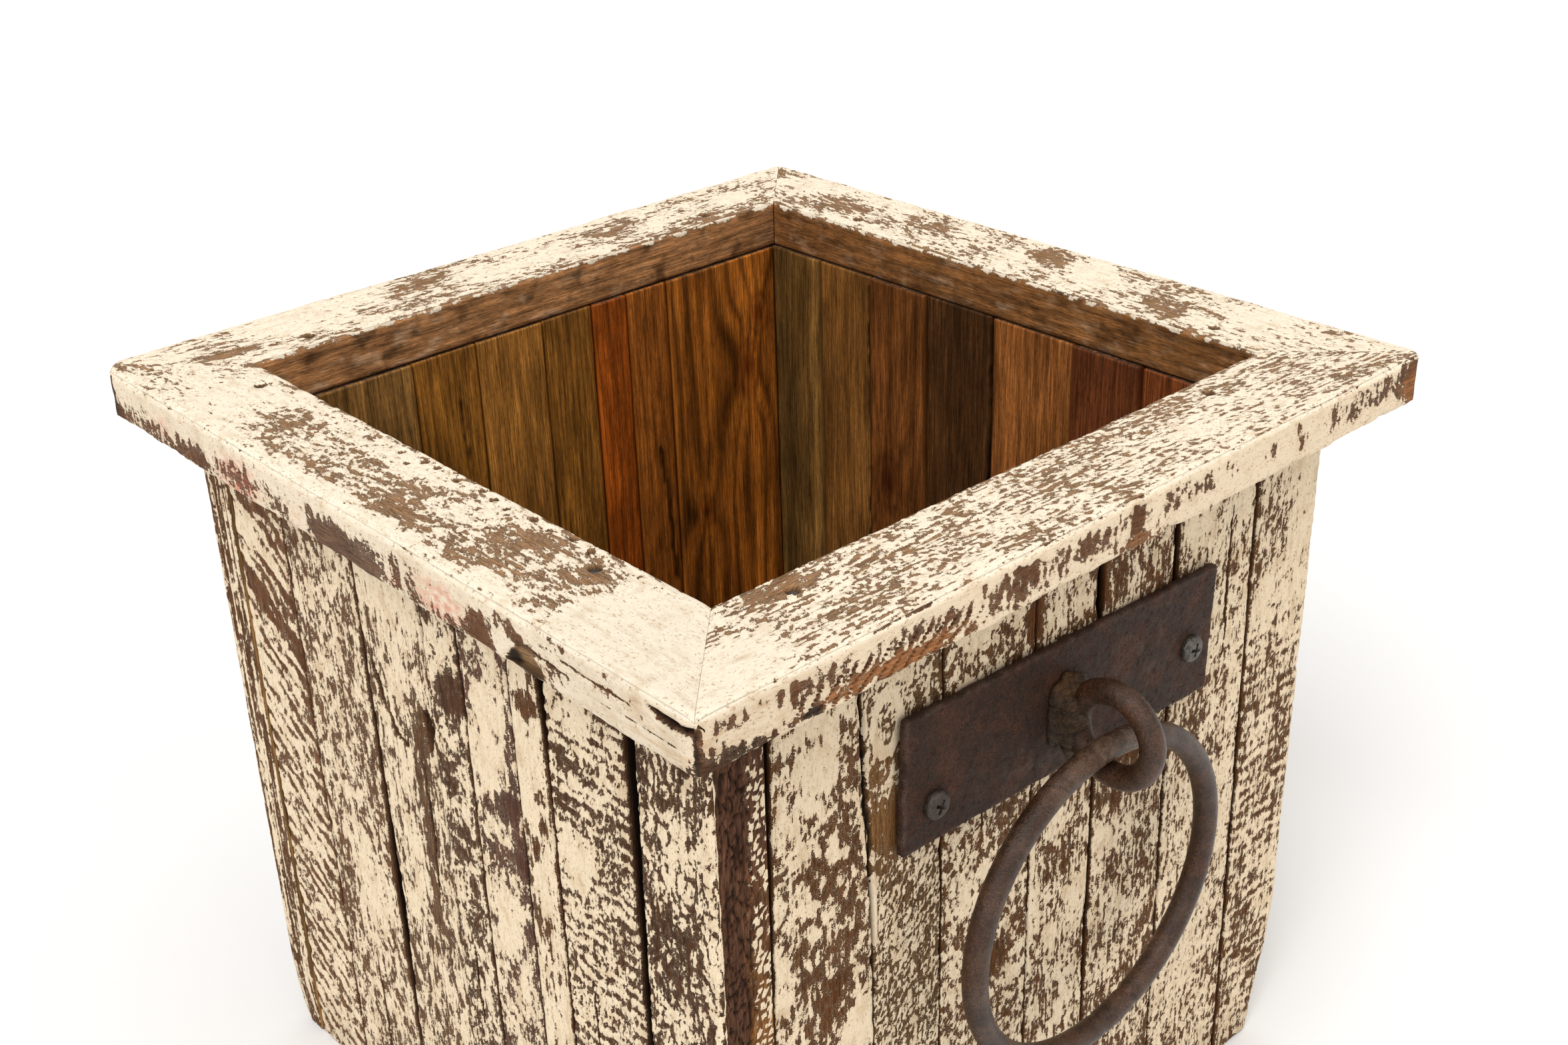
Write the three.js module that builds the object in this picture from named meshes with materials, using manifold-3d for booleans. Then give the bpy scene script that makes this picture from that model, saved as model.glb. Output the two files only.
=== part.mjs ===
// Square planter box of reclaimed boards: four walls of upright staves under a
// mitred rim, a slatted floor on two cleats, and a forged drop-ring handle on
// each of two opposite walls.
// Millimetres, +Z up. Origin: centre of the footprint on the ground.
// +X runs to the right along the front wall; the front wall faces -Y.
import * as THREE from 'three';
import { mergeVertices } from 'three/addons/utils/BufferGeometryUtils.js';
import Module from 'manifold-3d';

const wasm = await Module();
wasm.setup();

// ---- driving dimensions -------------------------------------------------
const RIM_OUT = 152.5;        // half width over the rim
const RIM_W = 38;             // rim board width
const RIM_T = 18;             // rim board thickness
const TOP = 272;              // total height
const BODY = 132.5;           // half width over the walls
const STAVE_T = 19;           // stave thickness
const STAVE_H = 253.7;        // stave length, 0.3 mm under the rim
const RIM_R = 6;              // plan radius of the rim's corners
const RIM_R_REAR_LEFT = 12;   // the most worn rim corner
const ARRIS = 3.5;            // rounding of the rim's outer arrises
const ARRIS_IN = 1.6;         // rounding of the rim's inner arrises
const CORNER_R = 5;           // plan radius of the body's corners
const EASE = 0.9;             // easing of each stave's edges
const CLEAR = 0.3;            // gap between touching pieces
const FLOOR_T = 15;           // floor board thickness
const CLEAT_H = 20;           // cleat height
const CLEAT_W = 30;           // cleat width
const FLOOR_GAP = 3;          // drainage gap between floor boards

const PLATE_L = 139.6;        // handle plate length
const PLATE_H = 44.8;         // handle plate height
const PLATE_T = 2.7;          // handle plate thickness
const PLATE_X = 2.2;          // plate centre
const PLATE_Z = 199.5;
const PLATE_TILT = 2.1;       // degrees, right end lower
const SCREW_X = [-55.2, 60.2];// screw centres
const SCREW_Z = [192.6, 194.1];
const SCREW_HEAD_R = 4.6;
const SCREW_HEAD_H = 2.9;
const SCREW_R = 2.0;
const SCREW_L = 13;           // shank length under the head
const EYE_X = 0.8;            // eye ring centre
const EYE_Y = -153.35;
const EYE_Z = 197.6;
const EYE_R = 13.6;           // centreline radius
const EYE_BAR = 4.0;          // bar radius
const RING_X = -1.2;          // drop ring centre
const RING_Y = -151.5;
const RING_TOP_Z = 192.6;     // bar centre where the ring hangs in the eye
const RING_A = 53.9;          // half width on the bar's centreline
const RING_B = 52.75;         // half height on the bar's centreline
const RING_BAR = 4.0;         // bar radius
const RING_Z = RING_TOP_Z - RING_B;

// ---- materials ----------------------------------------------------------
const mat = (color, roughness, metalness) =>
  new THREE.MeshStandardMaterial({ color, roughness, metalness });
const M = {
  cream: () => mat(0xdcc9a6, 0.85, 0),
  creamBrown: () => mat(0xb39c7c, 0.87, 0),
  tan: () => mat(0xa5815a, 0.85, 0),
  weathered: () => mat(0x5c4536, 0.9, 0),
  floor: () => mat(0x6d5238, 0.8, 0),
  iron: () => mat(0x4a3832, 0.62, 0.55),
  weld: () => mat(0x5a4c42, 0.7, 0.5),
  zinc: () => mat(0x8b8a86, 0.42, 0.9),
  nail: () => mat(0x4f4a45, 0.5, 0.8),
};

// ---- solids -------------------------------------------------------------
function toSolid(geometry, matrix) {
  let g = geometry.clone();
  if (matrix) g.applyMatrix4(matrix);
  g.deleteAttribute('normal');
  g.deleteAttribute('uv');
  g = mergeVertices(g, 1e-4);
  return new wasm.Manifold(new wasm.Mesh({
    numProp: 3,
    vertProperties: new Float32Array(g.attributes.position.array),
    triVerts: new Uint32Array(g.index.array),
  }));
}
function toGeometry(solid) {
  const m = solid.getMesh();
  const g = new THREE.BufferGeometry();
  const n = m.numProp;
  const p = new Float32Array(m.vertProperties.length / n * 3);
  for (let i = 0; i < p.length / 3; i++) {
    p[3 * i] = m.vertProperties[n * i];
    p[3 * i + 1] = m.vertProperties[n * i + 1];
    p[3 * i + 2] = m.vertProperties[n * i + 2];
  }
  g.setAttribute('position', new THREE.BufferAttribute(p, 3));
  g.setIndex(new THREE.BufferAttribute(new Uint32Array(m.triVerts), 1));
  g.computeVertexNormals();
  return g;
}
// Extrude a closed outline of [a, b] points by depth along the third axis.
function prism(points, depth, options = {}) {
  const shape = new THREE.Shape(points.map(([a, b]) => new THREE.Vector2(a, b)));
  return new THREE.ExtrudeGeometry(shape, { depth, bevelEnabled: false, ...options });
}
// Axes for an outline drawn in (a, z) on a wall, extruded along the wall's
// inward normal: local x -> wall direction, local y -> +Z, local z -> outward.
const FRAMES = {
  front: new THREE.Matrix4().makeBasis(
    new THREE.Vector3(1, 0, 0), new THREE.Vector3(0, 0, 1), new THREE.Vector3(0, -1, 0)),
  right: new THREE.Matrix4().makeBasis(
    new THREE.Vector3(0, 1, 0), new THREE.Vector3(0, 0, 1), new THREE.Vector3(1, 0, 0)),
  back: new THREE.Matrix4().makeBasis(
    new THREE.Vector3(-1, 0, 0), new THREE.Vector3(0, 0, 1), new THREE.Vector3(0, 1, 0)),
  left: new THREE.Matrix4().makeBasis(
    new THREE.Vector3(0, -1, 0), new THREE.Vector3(0, 0, 1), new THREE.Vector3(-1, 0, 0)),
};
const roundedPlan = (half, radii, steps = 4) => {
  // corners in order: front-right, rear-right, rear-left, front-left
  const c = [[1, -1], [1, 1], [-1, 1], [-1, -1]];
  const out = [];
  c.forEach(([sx, sy], k) => {
    const r = radii[k];
    const start = [-90, 0, 90, 180][k];
    for (let i = 0; i <= steps; i++) {
      const a = (start + 90 * i / steps) * Math.PI / 180;
      out.push([sx * (half - r) + r * Math.cos(a), sy * (half - r) + r * Math.sin(a)]);
    }
  });
  return out;
};

const group = new THREE.Group();
function add(name, geometry, material) {
  const mesh = new THREE.Mesh(geometry, material);
  mesh.name = name;
  group.add(mesh);
  return mesh;
}

// ---- walls --------------------------------------------------------------
// A seam is a list of [z, position along the wall, half gap], from the ground
// up; position is measured left to right as the wall is seen from outside.
const END = (p) => [[0, p, 0], [STAVE_H, p, 0]];
const WALLS = {
  front: {
    seams: [
      [[0, -114.0, 0], [145, -113.9, 0], [185, -113.2, 0], [STAVE_H, -111.6, 0]],
      [[0, -76.4, 0.25], [140, -76.0, 0.3], [170, -76.6, 0.4], [200, -79, 0.5], [230, -80, 0.6], [STAVE_H, -80.4, 0.5]],
      [[0, -48, 0.25], [STAVE_H, -48, 0.3]],
      [[0, -9, 0.25], [STAVE_H, -9.4, 0.3]],
      [[0, 20.4, 0.25], [80, 20.3, 0.5], [115, 20.2, 0.9], [145, 20, 0.3], [215, 19.6, 0.4], [232, 19, 1.4], [STAVE_H, 19, 0.8]],
      [[0, 58.8, 0.6], [88, 58, 0.8], [130, 57, 0.8], [180, 56, 1.1], [STAVE_H, 55, 1.9]],
      [[0, 100.5, 0.5], [120, 98.4, 0.7], [STAVE_H, 95.6, 0.5]],
      END(BODY),
    ],
    slots: ['cream', 'creamBrown', 'tan', 'creamBrown', 'creamBrown', 'creamBrown', 'cream'],
    inner: [18.4, 18.8, 19, 18.2, 18.9, 18.5, 19],
  },
  right: {
    seams: [END(-113.2),
      [[0, -70.3, 0.3], [STAVE_H, -70, 0.7]], [[0, -40, 0.25], [STAVE_H, -40, 0.25]],
      [[0, -2, 0.4], [STAVE_H, -2, 0.9]], [[0, 31, 0.25], [STAVE_H, 31, 0.25]],
      [[0, 60.5, 0.25], [STAVE_H, 60.5, 0.25]], [[0, 88, 0.25], [STAVE_H, 88, 0.3]], END(BODY)],
    slots: ['cream', 'creamBrown', 'tan', 'creamBrown', 'cream', 'creamBrown', 'creamBrown'],
    inner: [18.6, 19, 18.3, 17.9, 19, 18.5, 18.9],
  },
  back: {
    // listed left to right as seen from behind: +X end first
    seams: [END(-113.2),
      [[0, -58, 0.25], [STAVE_H, -58, 0.3]], [[0, -38, 0.25], [STAVE_H, -38, 0.25]],
      [[0, -22, 0.3], [STAVE_H, -22, 0.25]], [[0, 1, 0.25], [STAVE_H, 1, 0.25]],
      [[0, 30, 0.25], [STAVE_H, 30, 0.4]], [[0, 57, 0.3], [STAVE_H, 57, 0.3]], END(BODY)],
    slots: ['creamBrown', 'tan', 'creamBrown', 'cream', 'creamBrown', 'cream', 'creamBrown'],
    inner: [19, 18.5, 18.9, 18.2, 18.8, 18.4, 19],
  },
  left: {
    // listed rear end first: position = -y
    seams: [END(-113.2),
      [[0, -80, 0.25], [STAVE_H, -79.3, 0.3]],
      [[0, -38, 0.4], [60, -37.5, 0.8], [108, -37.5, 2.2], [150, -37, 1.0], [STAVE_H, -38, 0.4]],
      [[0, 0, 0.3], [200, 0, 0.4], [228, 0, 0.9], [STAVE_H, 0, 0.3]],
      [[0, 19, 0.25], [STAVE_H, 19, 0.25]],
      [[0, 44, 0.3], [95, 44, 0.6], [205, 44, 0.7], [STAVE_H, 44, 0.3]],
      [[0, 60, 0.3], [200, 60, 0.4], [235, 59.3, 1.6], [STAVE_H, 59, 1.8]],
      [[0, 97.5, 0.6], [120, 98, 0.9], [200, 98.5, 1.6], [STAVE_H, 98.8, 2.4]],
      END(BODY)],
    slots: ['creamBrown', 'cream', 'creamBrown', 'creamBrown', 'cream', 'cream', 'cream', 'creamBrown'],
    inner: [18.8, 18.4, 19, 18.3, 18.8, 18.5, 19, 18.2],
  },
};

const bodyPlan = toSolid(prism(roundedPlan(BODY, [CORNER_R, CORNER_R, CORNER_R, CORNER_R]), STAVE_H + 4)
  .translate(0, 0, -2));
// Bottom corners worn away, as outlines over (wall position, z). The wear is
// full on the corner stave and fades out across its neighbour round the corner.
const WORN_FRONT_RIGHT = [[60, -5], [119.5, -5], [122, 0], [126, 20], [130.5, 40], [132.7, 56], [132.7, 300], [60, 300]];
const WORN_REAR_LEFT = [[60, -5], [121.5, -5], [125, 0], [128.5, 7], [131.3, 17], [132.7, 28], [132.7, 300], [60, 300]];
// Slab over the outline, from u = -10 to u = -150 along the neighbour's wall;
// with fade it is square-cut at the near end.
function wornSlab(outline, fadeEnd) {
  const near = fadeEnd === undefined ? -10 : fadeEnd;
  const g = prism(outline, 150 + near);       // local z: from near towards the corner
  const p = g.attributes.position;
  for (let i = 0; i < p.count; i++) {
    const z = p.getZ(i);
    if (fadeEnd !== undefined && z < 1 && p.getX(i) > 100) p.setX(i, 132.7);
    p.setZ(i, z - near);
  }
  return g;
}
// local x -> +X, y -> +Z, z -> -Y  (front right corner)
const toFrontRight = new THREE.Matrix4().makeBasis(
  new THREE.Vector3(1, 0, 0), new THREE.Vector3(0, 0, 1), new THREE.Vector3(0, -1, 0));
// local x -> +Y, y -> +Z, z -> -X  (rear left corner); mirrored outline keeps it facing out
const toRearLeft = new THREE.Matrix4().makeBasis(
  new THREE.Vector3(0, 1, 0), new THREE.Vector3(0, 0, 1), new THREE.Vector3(1, 0, 0));
function mirrorZ(g) {
  // (x, y, z) -> (x, y, -z) with the winding turned back
  const f = g.index ? g.toNonIndexed() : g.clone();
  const p = f.attributes.position;
  for (let i = 0; i < p.count; i++) p.setZ(i, -p.getZ(i));
  for (let i = 0; i < p.count; i += 3) {
    const a = [p.getX(i + 1), p.getY(i + 1), p.getZ(i + 1)];
    p.setXYZ(i + 1, p.getX(i + 2), p.getY(i + 2), p.getZ(i + 2));
    p.setXYZ(i + 2, ...a);
  }
  return f;
}
const wornCorner = {
  front: toSolid(wornSlab(WORN_FRONT_RIGHT), toFrontRight),
  right: toSolid(wornSlab(WORN_FRONT_RIGHT, -69), toFrontRight),
  left: toSolid(mirrorZ(wornSlab(WORN_REAR_LEFT)), toRearLeft),
  back: toSolid(mirrorZ(wornSlab(WORN_REAR_LEFT, -56)), toRearLeft),
};

const staveSolids = {};
for (const [wall, spec] of Object.entries(WALLS)) {
  const n = spec.seams.length - 1;
  for (let i = 0; i < n; i++) {
    const a = spec.seams[i], b = spec.seams[i + 1];
    const outline = [];
    b.forEach(([z, p, h]) => outline.push([p - h, z]));
    [...a].reverse().forEach(([z, p, h]) => outline.push([p + h, z]));
    const t = spec.inner[i];
    const g = prism(outline, t - 2 * EASE, {
      bevelEnabled: true, bevelThickness: EASE, bevelSize: EASE, bevelOffset: -EASE, bevelSegments: 2,
    }).translate(0, 0, BODY - t + EASE);
    let s = toSolid(g, FRAMES[wall]);
    if (i === 0 || i === n - 1) s = s.intersect(bodyPlan);
    if (wall === 'front' && i === n - 1) s = s.intersect(wornCorner.front);
    if (wall === 'right' && i === 0) s = s.intersect(wornCorner.right);
    if (wall === 'back' && i === n - 1) s = s.intersect(wornCorner.back);
    if (wall === 'left' && i === 0) s = s.intersect(wornCorner.left);
    staveSolids[`${wall}_stave_${i + 1}`] = { s, slot: spec.slots[i] };
  }
}

// ---- rim ----------------------------------------------------------------
const RIM_IN = RIM_OUT - RIM_W;
function rimSection() {
  // outline in (distance outward, z), eased at the four arrises
  const pts = [];
  const arc = (cx, cz, r, a0, n) => {
    for (let i = 0; i <= n; i++) {
      const a = (a0 + 90 * i / n) * Math.PI / 180;
      pts.push([cx + r * Math.cos(a), cz + r * Math.sin(a)]);
    }
  };
  const lo = TOP - RIM_T;
  arc(RIM_OUT - 2.4, lo + 2.4, 2.4, -90, 3);
  arc(RIM_OUT - ARRIS, TOP - ARRIS, ARRIS, 0, 4);
  arc(RIM_IN + ARRIS_IN, TOP - ARRIS_IN, ARRIS_IN, 90, 2);
  arc(RIM_IN + ARRIS_IN, lo + ARRIS_IN, ARRIS_IN, 180, 2);
  return pts;
}
const MITRE = 0.2;            // each mitred end is cut back by this much
const rimOutline = roundedPlan(RIM_OUT, [RIM_R, RIM_R, RIM_R_REAR_LEFT, RIM_R], 6);
const rimPlan = toSolid(prism(rimOutline, 60).translate(0, 0, TOP - 40));
const rimSolids = {};
for (const wall of ['front', 'right', 'back', 'left']) {
  // section drawn in (outward, z) and run along the wall
  const along = new THREE.Matrix4().makeBasis(
    ...({
      front: [new THREE.Vector3(0, -1, 0), new THREE.Vector3(0, 0, 1), new THREE.Vector3(-1, 0, 0)],
      right: [new THREE.Vector3(1, 0, 0), new THREE.Vector3(0, 0, 1), new THREE.Vector3(0, -1, 0)],
      back: [new THREE.Vector3(0, 1, 0), new THREE.Vector3(0, 0, 1), new THREE.Vector3(1, 0, 0)],
      left: [new THREE.Vector3(-1, 0, 0), new THREE.Vector3(0, 0, 1), new THREE.Vector3(0, 1, 0)],
    }[wall]));
  const bar = toSolid(prism(rimSection(), 2 * RIM_OUT + 2).translate(0, 0, -RIM_OUT - 1), along);
  // mitre: keep what is nearer this wall than its neighbours
  const m = MITRE * Math.SQRT2;
  // (outward, along) triangle: |along| < outward - m
  const tri = [[m, 0], [200, -(200 - m)], [200, 200 - m]];
  const flat = new THREE.Matrix4().makeBasis(
    ...({
      front: [new THREE.Vector3(0, -1, 0), new THREE.Vector3(1, 0, 0), new THREE.Vector3(0, 0, 1)],
      right: [new THREE.Vector3(1, 0, 0), new THREE.Vector3(0, 1, 0), new THREE.Vector3(0, 0, 1)],
      back: [new THREE.Vector3(0, 1, 0), new THREE.Vector3(-1, 0, 0), new THREE.Vector3(0, 0, 1)],
      left: [new THREE.Vector3(-1, 0, 0), new THREE.Vector3(0, -1, 0), new THREE.Vector3(0, 0, 1)],
    }[wall]));
  const mitre = toSolid(prism(tri, 60).translate(0, 0, TOP - 40), flat);
  rimSolids[`rim_${wall}`] = bar.intersect(mitre).intersect(rimPlan);
}

// Finish nails through the rim into the stave tops, heads set below the surface.
const NAIL_R = 0.9, NAIL_HEAD_R = 1.35, NAIL_SET = 1.6, NAIL_L = 40;
const nailProfile = [[0, 0], [NAIL_R * 0.35, 0], [NAIL_R, 3], [NAIL_R, NAIL_L - 1.6], [NAIL_HEAD_R, NAIL_L - 1.1], [NAIL_HEAD_R, NAIL_L], [0, NAIL_L]];
const nailGeo = () => new THREE.LatheGeometry(nailProfile.map(([r, z]) => new THREE.Vector2(r, z)), 10).rotateX(Math.PI / 2);
const holeGeo = () => new THREE.LatheGeometry([[0, -0.4], [NAIL_R + CLEAR, -0.4], [NAIL_R + CLEAR, NAIL_L - 2.1],
  [NAIL_HEAD_R + CLEAR, NAIL_L - 1.5], [NAIL_HEAD_R + CLEAR, NAIL_L + 6], [0, NAIL_L + 6]]
  .map(([r, z]) => new THREE.Vector2(r, z)), 10).rotateX(Math.PI / 2);
const nailSpots = {
  rim_nail_front_left: [-95, -(BODY - 9.4), 'rim_front', 'front_stave_1'],
  rim_nail_front_right: [78, -(BODY - 9.4), 'rim_front', 'front_stave_6'],
  rim_nail_right_front: [BODY - 9.4, -92, 'rim_right', 'right_stave_1'],
  rim_nail_right_rear: [BODY - 9.4, 75, 'rim_right', 'right_stave_6'],
  rim_nail_back_right: [86, BODY - 9.4, 'rim_back', 'back_stave_1'],
  rim_nail_back_left: [-90, BODY - 9.4, 'rim_back', 'back_stave_7'],
  rim_nail_left_rear: [-(BODY - 9.4), 96, 'rim_left', 'left_stave_1'],
  rim_nail_left_front: [-(BODY - 9.4), -78, 'rim_left', 'left_stave_7'],
};
for (const [name, [x, y, rim, stave]] of Object.entries(nailSpots)) {
  const z0 = TOP - NAIL_SET - NAIL_L;
  const hole = toSolid(holeGeo().translate(x, y, z0));
  rimSolids[rim] = rimSolids[rim].subtract(hole);
  staveSolids[stave].s = staveSolids[stave].s.subtract(hole);
  add(name, toGeometry(toSolid(nailGeo().translate(x, y, z0))), M.nail());
}

// ---- floor and cleats ---------------------------------------------------
const IN = BODY - STAVE_T - CLEAR;      // half width available between the walls
const floorW = (2 * IN - 2 * FLOOR_GAP) / 3;
['front', 'middle', 'rear'].forEach((where, i) => {
  const y0 = -IN + i * (floorW + FLOOR_GAP);
  const g = prism([[-IN, y0], [IN, y0], [IN, y0 + floorW], [-IN, y0 + floorW]], FLOOR_T - 1.6, {
    bevelEnabled: true, bevelThickness: 0.8, bevelSize: 0.8, bevelOffset: -0.8, bevelSegments: 1,
  }).translate(0, 0, CLEAT_H + CLEAR + 0.8);
  add(`floor_board_${where}`, toGeometry(toSolid(g)), M.floor());
});
[['left', -85], ['right', 85]].forEach(([where, x]) => {
  const g = prism([[x - CLEAT_W / 2, -IN], [x + CLEAT_W / 2, -IN], [x + CLEAT_W / 2, IN], [x - CLEAT_W / 2, IN]], CLEAT_H - 0.4)
    .translate(0, 0, 0.4);
  add(`floor_cleat_${where}`, toGeometry(toSolid(g)), M.weathered());
});

// ---- handles ------------------------------------------------------------
const FACE = -(BODY + CLEAR);           // back of the plate
const PLATE_FRONT = FACE - PLATE_T;
function screwGeo(grow = 0) {
  // along +Y into the wall; the head's seat is at y = 0
  const h = SCREW_HEAD_H, r = SCREW_HEAD_R;
  const p = grow
    ? [[0, -1], [SCREW_R + grow, -1], [SCREW_R + grow, SCREW_L + grow], [0, SCREW_L + grow]]
    : [[0, -h], [r * 0.45, -h + 0.08], [r * 0.78, -h + 0.42], [r * 0.95, -h + 1.15], [r, -h + 1.9], [r * 0.985, 0],
      [SCREW_R, 0], [SCREW_R, SCREW_L - 4], [0.2, SCREW_L], [0, SCREW_L]];
  return new THREE.LatheGeometry(p.map(([a, b]) => new THREE.Vector2(a, b)), 16);
}
function recess() {
  // cross recess, tapering inwards
  const arm = (l, w) => prism([[-l, -w], [l, -w], [l, w], [-l, w]], 1.9)
    .rotateX(-Math.PI / 2).translate(0, -SCREW_HEAD_H - 0.3, 0);
  return toSolid(arm(2.35, 0.42)).add(toSolid(arm(0.42, 2.35)));
}
function ringGeo() {
  // torus carried onto an oval centreline in the XZ plane
  const g = new THREE.TorusGeometry(50, RING_BAR, 10, 60);
  const p = g.attributes.position;
  for (let i = 0; i < p.count; i++) {
    const x = p.getX(i), y = p.getY(i), z = p.getZ(i);
    const a = Math.atan2(y, x), off = Math.hypot(x, y) - 50;
    const cx = RING_A * Math.cos(a), cz = RING_B * Math.sin(a);
    let nx = RING_B * Math.cos(a), nz = RING_A * Math.sin(a);
    const l = Math.hypot(nx, nz); nx /= l; nz /= l;
    p.setXYZ(i, cx + nx * off, -z, cz + nz * off);
  }
  return g;
}
function blob(x, y, z, rx, ry, rz) {
  return toSolid(new THREE.SphereGeometry(1, 12, 8).rotateX(Math.PI / 2).scale(rx, ry, rz).translate(x, y, z));
}
for (const side of ['front', 'back']) {
  const turn = new THREE.Matrix4();
  if (side === 'back') turn.makeRotationZ(Math.PI);

  // plate
  const r = 2;
  const hx = PLATE_L / 2, hz = PLATE_H / 2;
  const outline = [];
  [[1, -1, -90], [1, 1, 0], [-1, 1, 90], [-1, -1, 180]].forEach(([sx, sz, a0]) => {
    for (let i = 0; i <= 2; i++) {
      const a = (a0 + 45 * i) * Math.PI / 180;
      outline.push([sx * (hx - r) + r * Math.cos(a), sz * (hz - r) + r * Math.sin(a)]);
    }
  });
  const plateGeo = prism(outline, PLATE_T - 1.0, {
    bevelEnabled: true, bevelThickness: 0.5, bevelSize: 0.5, bevelOffset: -0.5, bevelSegments: 1,
  }).translate(0, 0, 0.5).rotateZ(-PLATE_TILT * Math.PI / 180);
  const plateFrame = new THREE.Matrix4().makeBasis(
    new THREE.Vector3(1, 0, 0), new THREE.Vector3(0, 0, 1), new THREE.Vector3(0, -1, 0))
    .setPosition(PLATE_X, FACE, PLATE_Z);
  let plate = toSolid(plateGeo, plateFrame);

  // screws, and their holes in the plate and the wall
  SCREW_X.forEach((x, i) => {
    const z = SCREW_Z[i];
    const seat = new THREE.Matrix4().makeTranslation(x, PLATE_FRONT - CLEAR, z);
    const spin = new THREE.Matrix4().makeRotationY([0.5, 0.25][i]);
    const s = toSolid(screwGeo()).subtract(recess());
    const placed = s.transform([...turn.clone().multiply(seat).multiply(spin).elements]);
    add(`${side}_screw_${i === 0 ? 'left' : 'right'}`, toGeometry(placed), M.zinc());
    const hole = toSolid(screwGeo(CLEAR + 0.1), seat);
    plate = plate.subtract(hole);
    const world = toSolid(screwGeo(CLEAR + 0.1), turn.clone().multiply(seat));
    const box = world.boundingBox();
    const cx = (box.min[0] + box.max[0]) / 2;
    for (const [name, entry] of Object.entries(staveSolids)) {
      if (!name.startsWith(side)) continue;
      const b = entry.s.boundingBox();
      if (cx > b.min[0] - 4 && cx < b.max[0] + 4) entry.s = entry.s.subtract(world);
    }
  });
  add(`${side}_plate`, toGeometry(plate.transform([...turn.elements])), M.iron());

  // eye
  const eyeGeo = (grow = 0) => new THREE.TorusGeometry(EYE_R, EYE_BAR + grow, 10, 32)
    .rotateY(Math.PI / 2).translate(EYE_X, EYE_Y, EYE_Z);
  const eye = toSolid(eyeGeo());
  add(`${side}_eye`, toGeometry(eye.transform([...turn.elements])), M.iron());

  // weld fillet between the eye and the plate
  let weld = blob(EYE_X, PLATE_FRONT - 0.4, EYE_Z, 7.2, 4.2, 12.5);
  weld = weld.add(blob(EYE_X - 4.2, PLATE_FRONT - 0.6, EYE_Z + 7.5, 4.6, 4.4, 5.2));
  weld = weld.add(blob(EYE_X - 4.8, PLATE_FRONT - 0.4, EYE_Z - 3.0, 4.4, 3.6, 5.6));
  weld = weld.add(blob(EYE_X + 4.4, PLATE_FRONT - 0.4, EYE_Z + 3.5, 4.2, 3.6, 6.4));
  weld = weld.add(blob(EYE_X + 3.4, PLATE_FRONT - 0.4, EYE_Z - 8.0, 4.4, 3.4, 4.6));
  weld = weld.add(blob(EYE_X, PLATE_FRONT - 3.2, EYE_Z + 10.4, 4.4, 4.0, 4.6));
  weld = weld.add(blob(EYE_X, PLATE_FRONT - 3.0, EYE_Z - 10.4, 4.2, 3.6, 4.4));
  const half = toSolid(new THREE.BoxGeometry(80, 40, 80).translate(EYE_X, PLATE_FRONT - CLEAR - 20, EYE_Z));
  weld = weld.intersect(half).subtract(toSolid(eyeGeo(CLEAR)));
  add(`${side}_eye_weld`, toGeometry(weld.transform([...turn.elements])), M.weld());

  // drop ring, with the lump where its bar was closed
  let ring = toSolid(ringGeo().translate(RING_X, RING_Y, RING_Z));
  const la = -78 * Math.PI / 180;
  ring = ring.add(toSolid(new THREE.SphereGeometry(1, 12, 8).scale(6.6, 4.9, 4.9)
    .rotateY(-(la + Math.PI / 2)).translate(RING_X + RING_A * Math.cos(la), RING_Y, RING_Z + RING_B * Math.sin(la))));
  add(`${side}_ring`, toGeometry(ring.transform([...turn.elements])), M.iron());
}

// ---- boards into the scene ----------------------------------------------
for (const [name, { s, slot }] of Object.entries(staveSolids)) add(name, toGeometry(s), M[slot]());
for (const [name, s] of Object.entries(rimSolids)) add(name, toGeometry(s), M.cream());

export default group;
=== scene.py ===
# Square planter box of reclaimed boards: four walls of upright staves under a mitred
# rim, a slatted floor on two cleats, and a forged drop-ring handle on two walls.
# Shapes are worked out in millimetres and written to the meshes in metres.
import bpy, bmesh, math
import numpy as np
from mathutils import Matrix, Vector


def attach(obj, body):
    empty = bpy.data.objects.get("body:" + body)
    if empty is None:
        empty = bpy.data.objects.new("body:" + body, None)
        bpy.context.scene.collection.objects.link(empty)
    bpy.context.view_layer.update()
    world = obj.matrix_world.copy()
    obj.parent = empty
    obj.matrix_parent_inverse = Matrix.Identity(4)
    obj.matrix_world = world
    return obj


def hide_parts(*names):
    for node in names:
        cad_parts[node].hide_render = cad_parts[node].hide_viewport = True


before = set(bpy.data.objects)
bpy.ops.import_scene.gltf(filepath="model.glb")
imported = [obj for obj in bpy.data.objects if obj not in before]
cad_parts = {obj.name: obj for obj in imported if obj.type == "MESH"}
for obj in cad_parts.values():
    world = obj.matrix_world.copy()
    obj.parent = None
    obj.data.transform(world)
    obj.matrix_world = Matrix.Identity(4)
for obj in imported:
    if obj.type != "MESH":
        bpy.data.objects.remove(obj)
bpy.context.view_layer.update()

# ---------------------------------------------------------------- dimensions
RIM_OUT, RIM_W, RIM_T, TOP = 152.5, 38.0, 18.0, 272.0
BODY, STAVE_T, STAVE_H = 132.5, 19.0, 253.7
ARRIS, CORNER_R = 3.5, 5.0
PLATE_L, PLATE_H, PLATE_T = 139.6, 44.8, 2.7
PLATE_X, PLATE_Z, PLATE_TILT = 2.2, 199.5, 2.1
PLATE_BACK = -(BODY + 0.3)
PLATE_FRONT = PLATE_BACK - PLATE_T
SCREWS = [(-55.2, 192.6, 0.5), (60.2, 194.1, 0.25)]
EYE = (0.8, -153.35, 197.6, 13.6, 4.0)
RING = (-1.2, -151.5, 139.85, 53.9, 52.75, 4.0)


def END(p):
    return [[0, p, 0], [STAVE_H, p, 0]]


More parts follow.
